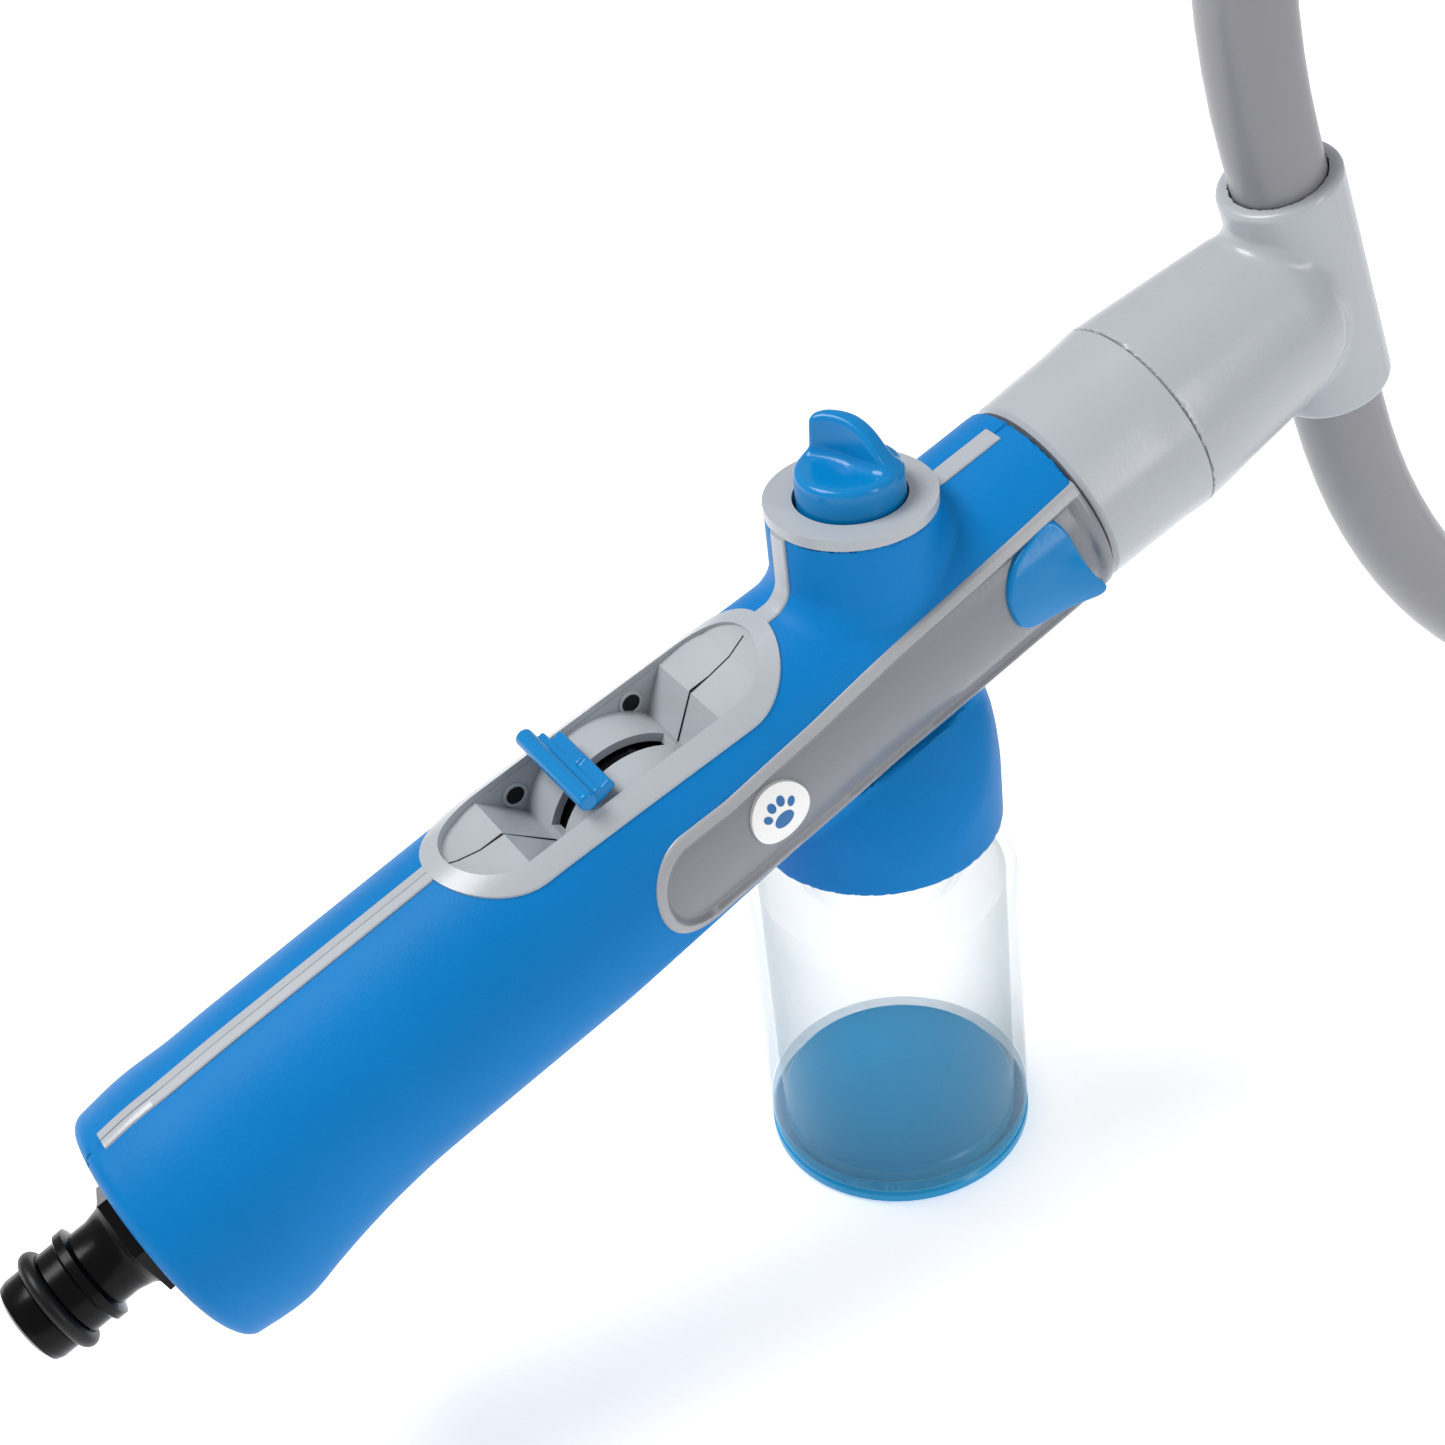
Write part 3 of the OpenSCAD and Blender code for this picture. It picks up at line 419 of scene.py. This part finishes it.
skin_step = 0.8
skin_points, skin_quads = crust(right_half, (-160, -27, -48), (46, 1.5, 33), skin_step)
skin_points = settled(right_half, skin_points, skin_quads, skin_step, 2)
right_skin = surface_piece("right_grip_skin", tilted(skin_points), skin_quads, grip_skin, "handle")
sharp_corners(right_skin, 40)
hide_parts("right_grip", "bottle_dome")
mirrored = tilted(skin_points * (1, -1, 1))
left_skin = surface_piece("left_grip_skin", mirrored, skin_quads[:, ::-1], grip_skin, "handle")
sharp_corners(left_skin, 40)
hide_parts("left_grip")

# ---- Tee body ----
# One grey moulding: a tapering barrel that takes the handle, and a round socket across its end for the hoop's
# tube. The two meet in a hollow fillet. The socket is bored from both ends, with a stop between.

barrel_curve = even_curve([(60, 19.95), (66.4, 19.95), (72, 19.6), (90, 18.1), (99, 17.3), (104, 15.4),
                           (107, 12.5), (112, 6)], 2)


def tee_field(p):
    """Distance to the tee: barrel and socket joined by a fillet, less the handle's and the tube's bores."""
    along, across, up = p[..., 0], p[..., 1], p[..., 2]
    radius = np.hypot(across, up)
    barrel_ends = np.maximum(66.5 - along, along - 110)
    barrel = rounded_end(radius - np.interp(along, *barrel_curve), barrel_ends, 0.3)
    tail = rounded_end(radius - 16.5, np.maximum(52 - along, along - 70), 0.4)
    sleeve = rounded_end(radius - 10.3, np.maximum(46 - along, along - 60), 0.3)
    from_socket = np.hypot(along - 109, across)
    socket = rounded_end(from_socket - 11.5, np.maximum(-25.2 - up, up - 24.6), 1.2)
    body = np.minimum(filleted(barrel, socket, 2.6), np.minimum(tail, sleeve))
    tube_bore = rounded_end(from_socket - 8.95, 7.6 - np.abs(up), 0.2)
    for gap in (np.maximum(radius - 8.15, along - 64), np.maximum(radius - 4.5, along - 109), tube_bore,
                np.maximum(from_socket - 7.1, np.abs(up) - 12)):
        body = np.maximum(body, -gap)
    return body


tee_step = 0.62
tee_points, tee_quads = crust(tee_field, (44, -22, -27), (123, 22, 27), tee_step)
tee_points = settled(tee_field, tee_points, tee_quads, tee_step, 1)
tee = surface_piece("tee_socket", tilted(tee_points), tee_quads, grey_moulding, "hoop")
sharp_corners(tee, 42)
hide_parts("tee_body")

# ---- Selector knob ----
# A blue round knob with a curved thumb fin. The fin is highest near its back end and slopes down into the
# knob's rim.


def knob_field(p):
    """Distance to the knob: a rounded skirt with a shallow dish, and a curved fin joined by a fillet."""
    x, y, z = p[..., 0], p[..., 1], p[..., 2]
    round_r = np.hypot(x, y)
    dish = 0.004 * (9.5 - round_r) ** 2 * 2
    skirt = rounded_end(round_r - 9.45, np.maximum(140.3 - z, z - 156.0 + dish), 1.3)
    run = (x + 1.5) * 0.42 + (8.6 - y) * 0.907
    bow = 1.5 * np.sin(np.clip(run / 14, 0, 1) * np.pi)
    aside = (x + 1.5) * 0.907 - (8.6 - y) * 0.42 - bow + 0.4
    crest = 163.6 - 0.10 * np.clip(3.4 - run, 0, None) ** 2 - 0.012 * np.clip(run - 3.4, 0, None) ** 2.5
    half = 1.25 + 0.10 * np.clip(crest - z, 0, 9) + 0.05 * run
    fin = rounded_end(np.abs(aside) - half, z - crest, 1.1)
    fin = rounded_end(fin, np.maximum(0.4 - run, run - 16.5), 0.8)
    fin = np.maximum(np.maximum(fin, 150 - z), round_r - 9.3)
    return filleted(skirt, fin, 1.8)


knob_step = 0.34
knob_points, knob_quads = crust(knob_field, (-11, -11, 139), (11, 11, 167), knob_step)
knob_points = settled(knob_field, knob_points, knob_quads, knob_step, 2)
knob = surface_piece("finned_knob", knob_points / 1000, knob_quads, blue_moulding, "knob")
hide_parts("selector_knob")

# ---- Side panels ----
# Mid-grey trim clipped over each side, with a raised border and a dished middle. The slab and the hole's prism
# both face inwards, so the cut only marks the button's outline on the panel and takes nothing away.


def panel_sheet(side):
    """Outer and inner grids: half height from the outline, times how far across the row a point stands.

    The outer grid lies on the handle's radius plus the border, a quarter round 0.55 mm high that falls in
    a smooth step, t * t * (3 - 2t), to the dish.
    """
    round_stations = panel_start - panel_round * np.cos(np.linspace(0, np.pi / 2, 40))
    along = np.concatenate([round_stations, np.linspace(panel_start, panel_end, 210)[1:]])
    round_end = np.sqrt(np.maximum(panel_round ** 2 - (along - panel_start) ** 2, 1e-4))
    above, below = (np.where(along < panel_start, round_end, np.interp(along, panel_stations, heights))
                    for heights in (panel_above, panel_below))
    spread = np.linspace(-1, 1, 121)
    spread = np.sign(spread) * (1 - (1 - np.abs(spread)) ** 1.35)
    grid_along = np.repeat(along[:, None], len(spread), 1)
    up = np.where(spread[None, :] > 0, above[:, None], below[:, None]) * spread[None, :]
    inward = -panel_distance(grid_along, up)
    inward = np.minimum(inward, panel_end - grid_along + 0.2)
    rise = np.clip(inward / 0.55, 0, 1)
    border = 0.55 * np.sqrt(1 - (1 - rise) ** 2) - 0.12
    fall = np.clip((inward - 1.55) / 1.5, 0, 1)
    height = border - 1.25 * fall * fall * (3 - 2 * fall)
    radius = np.interp(grid_along, *grip_curve) + height
    across = np.sqrt(radius ** 2 - up ** 2)
    outer = np.stack([grid_along, side * across, up], -1)
    inner_radius = np.interp(grid_along, *grip_curve) - 2.0
    inner = np.stack([grid_along, side * np.sqrt(inner_radius ** 2 - up ** 2), up], -1)
    return outer, inner


def closed_slab(outer, inner, flip=False):
    """Two grids of the same size joined round their four edges into one closed skin."""
    rows, columns = outer.shape[:2]
    points = np.concatenate([outer.reshape(-1, 3), inner.reshape(-1, 3)])
    index = np.arange(rows * columns).reshape(rows, columns)
    top = np.stack([index[:-1, :-1], index[1:, :-1], index[1:, 1:], index[:-1, 1:]], -1).reshape(-1, 4)
    under = top[:, ::-1] + rows * columns
    rim = np.concatenate([index[0, :], index[1:, -1], index[-1, -2::-1], index[-2:0:-1, 0]])
    following = np.roll(rim, -1)
    wall = np.stack([rim, following, following + rows * columns, rim + rows * columns], -1)
    faces = np.concatenate([top, under, wall])
    return points, faces[:, ::-1] if flip else faces


def cut_out(piece, points, faces, name):
    """Subtracts a shape from a piece, where both face outwards, and keeps the result as its mesh."""
    mesh = bpy.data.meshes.new(name)
    mesh.from_pydata(points.tolist(), [], faces.tolist())
    tool = bpy.data.objects.new(name, mesh)
    bpy.context.collection.objects.link(tool)
    cut = piece.modifiers.new("cut", "BOOLEAN")
    cut.operation, cut.solver, cut.object = "DIFFERENCE", "EXACT", tool
    bpy.context.view_layer.update()
    done = bpy.data.meshes.new_from_object(piece.evaluated_get(bpy.context.evaluated_depsgraph_get()))
    piece.modifiers.remove(cut)
    piece.data = done
    bpy.data.objects.remove(tool)


button_middle, button_base, loop_count, face_rings = (29.5, 1.0), 15.5, 96, 34
button_edge = np.array([
    (20.4, 1.0), (21.4, 5.0), (24.8, 8.4), (29.8, 10.2), (33.6, 10.9), (35.6, 9.8), (36.4, 6.8), (36.3, 2.6),
    (36.5, -1.4), (37.5, -4.8), (36.2, -7.0), (31.6, -6.9), (27.0, -6.3), (23.2, -5.2), (21.0, -2.8),
])


def even_loop(corners, count):
    """Closed loop through the corners, curved by a smooth closed spline, at equal steps."""
    n = len(corners)
    t = np.arange(n * 12) / 12
    k = t.astype(int)
    f = (t - k)[:, None]
    a, b, c, d = (corners[(k + j) % n] for j in (-1, 0, 1, 2))
    square, cube = 2 * a - 5 * b + 4 * c - d, 3 * b - a - 3 * c + d
    loop = 0.5 * (2 * b + (c - a) * f + square * f ** 2 + cube * f ** 3)
    length = np.concatenate([[0], np.cumsum(np.linalg.norm(np.roll(loop, -1, 0) - loop, axis=1))])
    want = np.linspace(0, length[-1], count, endpoint=False)
    closed = np.concatenate([loop, loop[:1]])
    return np.stack([np.interp(want, length, closed[:, i]) for i in (0, 1)], -1)


def prism_between(loop, side, y0, y1):
    """A closed prism with the loop as its outline, between two distances from the centre plane."""
    n = len(loop)
    points = np.concatenate([np.stack([loop[:, 0], np.full(n, side * y), loop[:, 1]], -1) for y in (y0, y1)])
    ring = np.arange(n)
    wall = [[i, (i + 1) % n, (i + 1) % n + n, i + n] for i in ring]
    caps = [list(ring[::-1]), list(ring + n)]
    return points, wall + caps


for side, name, node in ((-1, "right_trim_panel", "right_side_panel"),
                         (1, "left_trim_panel", "left_side_panel")):
    outer, inner = panel_sheet(side)
    slab_points, slab_faces = closed_slab(outer, inner, side < 0)
    panel = surface_piece(name, tilted(slab_points), slab_faces, panel_moulding, "handle")
    # The border faces get the lighter grey: painted highlight on the raised rim of one grey plastic.
    panel.data.materials.append(painted_highlight_border)
    middles = slab_points[slab_faces].mean(1)
    painted_highlight_faces = panel_distance(middles[:, 0], middles[:, 2]) > -1.75
    panel.data.polygons.foreach_set("material_index", painted_highlight_faces.astype(np.int32))
    wide = button_edge.copy()
    wide[4:7] = (35.2, 11.6), (38.6, 11.0), (38.8, 7.4)
    hole = even_loop(wide, loop_count)
    centre = hole.mean(0)
    hole = centre + (hole - centre) * 1.045
    hole_points, hole_faces = prism_between(hole, side, 8, 30)
    if side > 0:
        hole_faces = [f[::-1] for f in hole_faces]
    cut_out(panel, tilted(hole_points), np.array(hole_faces, dtype=object), name + "_hole")
    panel.data.polygons.foreach_set("use_smooth", np.ones(len(panel.data.polygons), bool))
    sharp_corners(panel, 38)
    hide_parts(node)

# ---- Release buttons ----
# Blue buttons that stand through the panels' faces. Each has a smooth face that sweeps out into a hook for the
# finger at its lower front corner, and an arm with a catch that runs under the collar.


def button_face(loop, rings):
    """Face of the button: the loop shrunk towards its middle in rings, at the handle's radius plus a hook.

    The hook grows as the way to the front raised to 2.6, most at the bottom, and the edge is rounded.
    """
    middle = np.array(button_middle)
    scale = np.sin(np.linspace(np.pi / 2, 0.0, rings))[:, None, None]
    flat = middle + (loop[None] - middle) * scale
    along, up = flat[..., 0], flat[..., 1]
    base = np.sqrt(np.maximum((np.interp(along, *grip_curve) + 0.35) ** 2 - up ** 2, 1))
    to_front = np.clip((along - 22) / 16, 0, 1)
    low = np.clip((6.0 - up) / 11, 0, 1)
    low = low * low * (3 - 2 * low)
    hook = 4.6 * to_front ** 2.6 * (0.05 + 0.95 * low)
    rim = 1 - scale[..., 0]
    edge = 0.9 * (1 - np.sqrt(1 - np.clip(1 - rim / 0.06, 0, 1) ** 2))
    return along, base + hook - edge, up


for side, name, node, body in ((-1, "right_thumb_button", "right_release_button", "right_button"),
                               (1, "left_thumb_button", "left_release_button", "left_button")):
    loop = even_loop(button_edge, loop_count)
    along, out, up = button_face(loop, face_rings)
    rings = [np.stack([along[0], np.full(loop_count, side * button_base), up[0]], -1)]
    rings += [np.stack([along[k], side * out[k], up[k]], -1) for k in range(face_rings - 1)]
    rings = np.array(rings)
    count = len(rings)
    index = np.arange(count * loop_count).reshape(count, loop_count)
    beside = np.roll(index, -1, 1)
    faces = np.stack([index[:-1], beside[:-1], beside[1:], index[1:]], -1).reshape(-1, 4)
    tips = [[button_middle[0], side * y, button_middle[1]] for y in (out[-1, 0], button_base)]
    points = np.concatenate([rings.reshape(-1, 3), tips])
    caps = [[index[-1, i], beside[-1, i], index.size] for i in range(loop_count)]
    caps += [[beside[0, i], index[0, i], index.size + 1] for i in range(loop_count)]
    arm = [((31, 48.8), (13.0, 15.2), (-4, 4)),
           ((46.6, 48.8), (15.1, 17.1), (-4, 4)),
           ((31.3, 36), (13.1, 15.6), (-3.9, 3.9))]
    all_faces = faces.tolist() + caps
    all_points = [points]
    start = len(points)
    for box_x, box_y, box_z in arm:
        box = np.array([(a, side * b, c) for a in box_x for b in box_y for c in box_z])
        all_points.append(box)
        six = [(0, 1, 3, 2), (4, 6, 7, 5), (0, 4, 5, 1), (2, 3, 7, 6), (0, 2, 6, 4), (1, 5, 7, 3)]
        all_faces += [[start + i for i in (f if side > 0 else f[::-1])] for f in six]
        start += 8
    if side < 0:
        all_faces[:len(faces) + len(caps)] = [list(f)[::-1] for f in all_faces[:len(faces) + len(caps)]]
    button = surface_piece(name, tilted(np.concatenate(all_points)), np.array(all_faces, dtype=object),
                           blue_moulding, body)
    sharp_corners(button, 50)
    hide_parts(node)

# ---- Button springs ----
# Steel coils between the shell's plates and the release buttons.

spring_seat, spring_free, spring_press = 9.8, 5.3, 2.4
coil_radius, wire_radius, coil_turns = 2.0, 0.35, 5
spring_along, spring_up = 25.5, 2.5


def coil(radius, wire, turns, length, side):
    """Tube round a helix: a small circle carried along turns of one radius and pitch, with closed ends."""
    t = np.linspace(0, 1, turns * 28 + 1)[:, None]
    a = np.linspace(0, 2 * np.pi, 10, endpoint=False)[None]
    turn = 2 * np.pi * turns * t
    out = radius + wire * np.cos(a)
    points = np.stack([spring_along + out * np.cos(turn),
                       side * (spring_seat + length * t + wire * np.sin(a)),
                       spring_up + out * np.sin(turn)], -1)
    rows = len(t)
    index = np.arange(rows * 10).reshape(rows, 10)
    beside = np.roll(index, -1, 1)
    faces = np.stack([index[:-1], beside[:-1], beside[1:], index[1:]], -1).reshape(-1, 4).tolist()
    faces += [index[0, ::-1].tolist(), index[-1].tolist()]
    if side < 0:
        faces = [f[::-1] for f in faces]
    return points.reshape(-1, 3), np.array(faces, dtype=object)


for side, name, node, joint in ((-1, "right_coil", "right_button_spring", "right_button_press"),
                                (1, "left_coil", "left_button_spring", "left_button_press")):
    coil_points, coil_faces = coil(coil_radius, wire_radius, coil_turns, spring_free, side)
    spring = surface_piece(name, tilted(coil_points), coil_faces, steel_wire, "handle")
    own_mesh(spring)
    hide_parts(node)

# ---- Seam strips ----
# Raised grey strips of the hard shell, which show between the two halves of the grip skin. One runs from
# the hose end to the recess, with the seam down its middle, one from the recess up the knob boss, and one
# from the boss towards the hoop.


def strip_on_grip(path, half_width, seam):
    """A path in the centre plane is drawn on to the grip's surface, with rounded edges and a seam groove."""
    corners = np.array(path, float)
    length = np.concatenate([[0], np.cumsum(np.linalg.norm(np.diff(corners, axis=0), axis=1))])
    steps = np.arange(0, length[-1], 0.35)
    line = np.stack([np.interp(steps, length, corners[:, k]) for k in (0, 1)], -1)
    round_edge = -half_width + 0.25 * (1 - np.cos(np.linspace(0, np.pi / 2, 5)))
    lateral = np.concatenate([round_edge, [-0.5, -0.13, -0.06, 0]])
    lateral = np.concatenate([lateral, -lateral[-2::-1]])
    proud = 0.40 - 0.55 * np.clip(1 - (half_width - np.abs(lateral)) / 0.25, 0, 1) ** 2
    proud -= seam * 0.45 * (np.abs(lateral) < 0.1)
    sheets = []
    for lift in (proud, np.full(len(lateral), -0.9)):
        p = np.stack([np.repeat(line[:, :1], len(lateral), 1), np.repeat(lateral[None], len(line), 0),
                      np.repeat(line[:, 1:], len(lateral), 1)], -1)
        for _ in range(14):
            g = slope(grip_field, p.reshape(-1, 3)).reshape(p.shape)
            g[..., 1] = 0
            off = grip_field(p) - lift
            p = p - np.clip(off, -0.6, 0.6)[..., None] * g / np.maximum((g * g).sum(-1, keepdims=True), 0.3)
        sheets.append(p)
    return sheets


def boss_wall(height):
    """Point of the boss's hose side at a height above the floor, in handle coordinates."""
    x, z = -15.1, height - axis_height
    return x * tilt_c + z * tilt_s, -x * tilt_s + z * tilt_c


for name, path, seam in (
        ("rear_seam_strip", [(-153.5, 22.0), (-120, 22.4), (-84.6, 22.4)], 1),
        ("boss_seam_strip", [(-17.2, 20.3), (-9.3, 20.6), boss_wall(148.1)], 0),
        ("front_strip", [(8.5, 20.0), (37.6, 19.4)], 0)):
    upper, lower = strip_on_grip(path, 2.12, seam)
    strip_points, strip_faces = closed_slab(upper, lower)
    strip = surface_piece(name, tilted(strip_points), strip_faces, grey_moulding, "handle")
    sharp_corners(strip, 35)

# ---- Neck socket ----
# Blue sleeve moulded inside the dome. The bottle's neck twists up into it. A gasket closes it at
# the top.


def lathe_piece(name, profile, material, body, turns=128):
    """A closed profile of (radius, height) in mm turned once round the bottle's axis."""
    angle = np.linspace(0, 2 * np.pi, turns, endpoint=False)
    ring = np.array(profile)
    points = np.stack([ring[:, 0] * np.cos(angle)[:, None], ring[:, 0] * np.sin(angle)[:, None],
                       np.broadcast_to(ring[:, 1], (turns, len(ring)))], -1)
    index = np.arange(turns * len(ring)).reshape(turns, len(ring))
    beside, above = np.roll(index, -1, 0), np.roll(index, -1, 1)
    faces = np.stack([index, beside, np.roll(beside, -1, 1), above], -1).reshape(-1, 4)
    return surface_piece(name, points.reshape(-1, 3) / 1000, faces, material, body)


neck_socket = lathe_piece("neck_socket", [
    (16.45, 80.4), (19.0, 80.4), (19.2, 80.8), (19.2, 88.4), (22.2, 88.4), (22.2, 90.4), (5.2, 90.4),
    (5.2, 88.6), (16.45, 88.6)], blue_moulding, "handle")
sharp_corners(neck_socket, 35)

# ---- Thumb lever ----
# Blue bar across the handle, pushed by the thumb. A round roll stands along its hose side with a lower step
# in front of it, and its stem goes down through the slot of the drum cover.

pivot_along, pivot_up, lever_lean = -51.5, 1.5, math.radians(14)


def lever_field(p):
    """Distance to the lever in its own lean: roll, step and stem joined by small fillets."""
    x, z = p[..., 0] - pivot_along, p[..., 2] - pivot_up
    ahead = x * math.cos(lever_lean) + z * math.sin(lever_lean)
    out = -x * math.sin(lever_lean) + z * math.cos(lever_lean)
    across = np.abs(p[..., 1])
    roll = np.hypot(ahead + 1.5, out - 22.2) - 1.7
    body = rounded_end(np.abs(ahead + 0.6) - 1.9, np.abs(out - 20.0) - 1.3, 0.5)
    step = rounded_end(np.abs(ahead - 1.9) - 1.6, np.abs(out - 19.6) - 1.0, 0.5)
    step = np.maximum(step, p[..., 1] - 7.5)
    low_part = rounded_end(filleted(body, step, 0.4), across - 10.0, 0.4)
    bar = filleted(roll, low_part, 0.5)
    bar = rounded_end(bar, across - 11.6, 0.5)
    stem = np.maximum(rounded_end(np.abs(ahead) - 3, across - 1.7, 0.3), np.maximum(12.3 - out, out - 21))
    return filleted(bar, stem, 0.5)


lever_step = 0.3
lever_points, lever_quads = crust(lever_field, (-66, -13, 11), (-48, 13, 29), lever_step)
lever_points = settled(lever_field, lever_points, lever_quads, lever_step, 1)
lever = surface_piece("roll_lever", tilted(lever_points), lever_quads, blue_moulding, "lever")
sharp_corners(lever, 50)
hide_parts("thumb_lever")

# ---- Recess details ----
# Two round sockets stand in the recess's left wall, and the joint of the two shells shows as a fine dark line
# down the ramps and the sloping ends of the well.

# Near black: the real dark joint lines down the ramps, and the painted shade inside each socket.
joint_dark_and_hole_shade = plastic("joint_dark_and_hole_shade", (0.012, 0.012, 0.014), 0.6, grain=0.05, gloss_level=0.1, shade=0.1)

for number, (along, up) in enumerate(((-65.4, 14.4), (-39.6, 14.2)), 1):
    for part_name, profile, material in (
            ("socket_rim", [(1.75, 10.75), (1.75, 10.3), (1.85, 10.2), (2.25, 10.2), (2.4, 10.35),
                            (2.4, 10.75)], grey_moulding),
            # A near-black disc inside each socket's rim: painted shade where the hole is.
            ("socket_hole_shade", [(0.01, 10.42), (1.78, 10.42), (1.78, 10.75), (0.01, 10.75)], joint_dark_and_hole_shade)):
        angle = np.linspace(0, 2 * np.pi, 48, endpoint=False)
        ring = np.array(profile)
        points = np.stack([along + ring[:, 0] * np.cos(angle)[:, None],
                           np.broadcast_to(ring[:, 1], (48, len(ring))),
                           up + ring[:, 0] * np.sin(angle)[:, None]], -1)
        index = np.arange(48 * len(ring)).reshape(48, len(ring))
        beside = np.roll(index, -1, 0)
        faces = np.stack([index, np.roll(index, -1, 1), np.roll(beside, -1, 1), beside], -1).reshape(-1, 4)
        fitting = surface_piece(f"{part_name}_{number}", tilted(points.reshape(-1, 3)), faces, material,
                                "handle")
        sharp_corners(fitting, 35)

for name, path in (
        ("rear_ramp_seam", [(-84.2, 22.45), (-80.5, 20.4), (-76.5, 19.1), (-72, 18.9), (-64.5, 9.15)]),
        ("front_ramp_seam", [(-38.7, 9.15), (-31.6, 17.25), (-27.5, 17.1), (-22.6, 17.7), (-18.6, 19.4)])):
    line = np.array(path, float)
    fine = np.concatenate([line[k] + (line[k + 1] - line[k]) * np.linspace(0, 1, 8, endpoint=False)[:, None]
                           for k in range(len(line) - 1)] + [line[-1:]])
    upper = np.stack([np.stack([fine[:, 0], np.full(len(fine), y), fine[:, 1] + 0.1], -1)
                      for y in (-0.11, 0.11)], 1)
    lower = upper - (0, 0, 0.4)
    seam_points, seam_faces = closed_slab(upper, lower)
    seam_line = surface_piece(name, tilted(seam_points), seam_faces, joint_dark_and_hole_shade, "handle")

# ---- Badge print ----
# A plain paw print in blue ink on the round white badge. It has one large pad and four small ones, and
# stands a hair above the film.

print_ink = plastic("print_ink", (0.01, 0.12, 0.34), 0.35, grain=0.02, gloss_level=0.4, shade=0.05)
pads = [(-33.3, -0.6, 2.0, 1.55, 0), (-35.9, 1.7, 0.72, 1.0, 0.5), (-34.3, 3.2, 0.78, 1.1, 0.15),
        (-32.3, 3.2, 0.78, 1.1, -0.15), (-30.7, 1.7, 0.72, 1.0, -0.5)]
print_points, print_faces = [], []
for centre_along, centre_up, half_wide, half_high, lean in pads:
    angle = np.linspace(0, 2 * np.pi, 40, endpoint=False)
    reach = np.concatenate([np.zeros(1), np.linspace(0.25, 1, 5)])
    for level_mm in (0.06, -0.3):
        start = sum(len(b) for b in print_points)
        u = np.concatenate([[0], (reach[1:, None] * np.cos(angle)).ravel()]) * half_wide
        v = np.concatenate([[0], (reach[1:, None] * np.sin(angle)).ravel()]) * half_high
        pad_along = centre_along + u * math.cos(lean) - v * math.sin(lean)
        pad_up = centre_up + u * math.sin(lean) + v * math.cos(lean)
        radius = np.interp(pad_along, *grip_curve) - 0.1 + level_mm
        print_points.append(np.stack([pad_along, -np.sqrt(radius ** 2 - pad_up ** 2), pad_up], -1))
        k = np.arange(40)
        rings = start + 1 + np.arange(5)[:, None] * 40 + k
        nexts = start + 1 + np.arange(5)[:, None] * 40 + (k + 1) % 40
        fan = [[start, int(a), int(b)] for a, b in zip(rings[0], nexts[0])]
        band = np.stack([rings[:-1], rings[1:], nexts[1:], nexts[:-1]], -1).reshape(-1, 4).tolist()
        sheet = fan + band
        print_faces += sheet if level_mm > 0 else [f[::-1] for f in sheet]
        if level_mm < 0:
            top_rim, low_rim = rings[-1] - 201, rings[-1]
            top_next, low_next = nexts[-1] - 201, nexts[-1]
            print_faces += np.stack([top_rim, low_rim, low_next, top_next], -1).tolist()
badge_print = surface_piece("badge_print", tilted(np.concatenate(print_points)),
                            np.array(print_faces, dtype=object), print_ink, "handle")
sharp_corners(badge_print, 35)
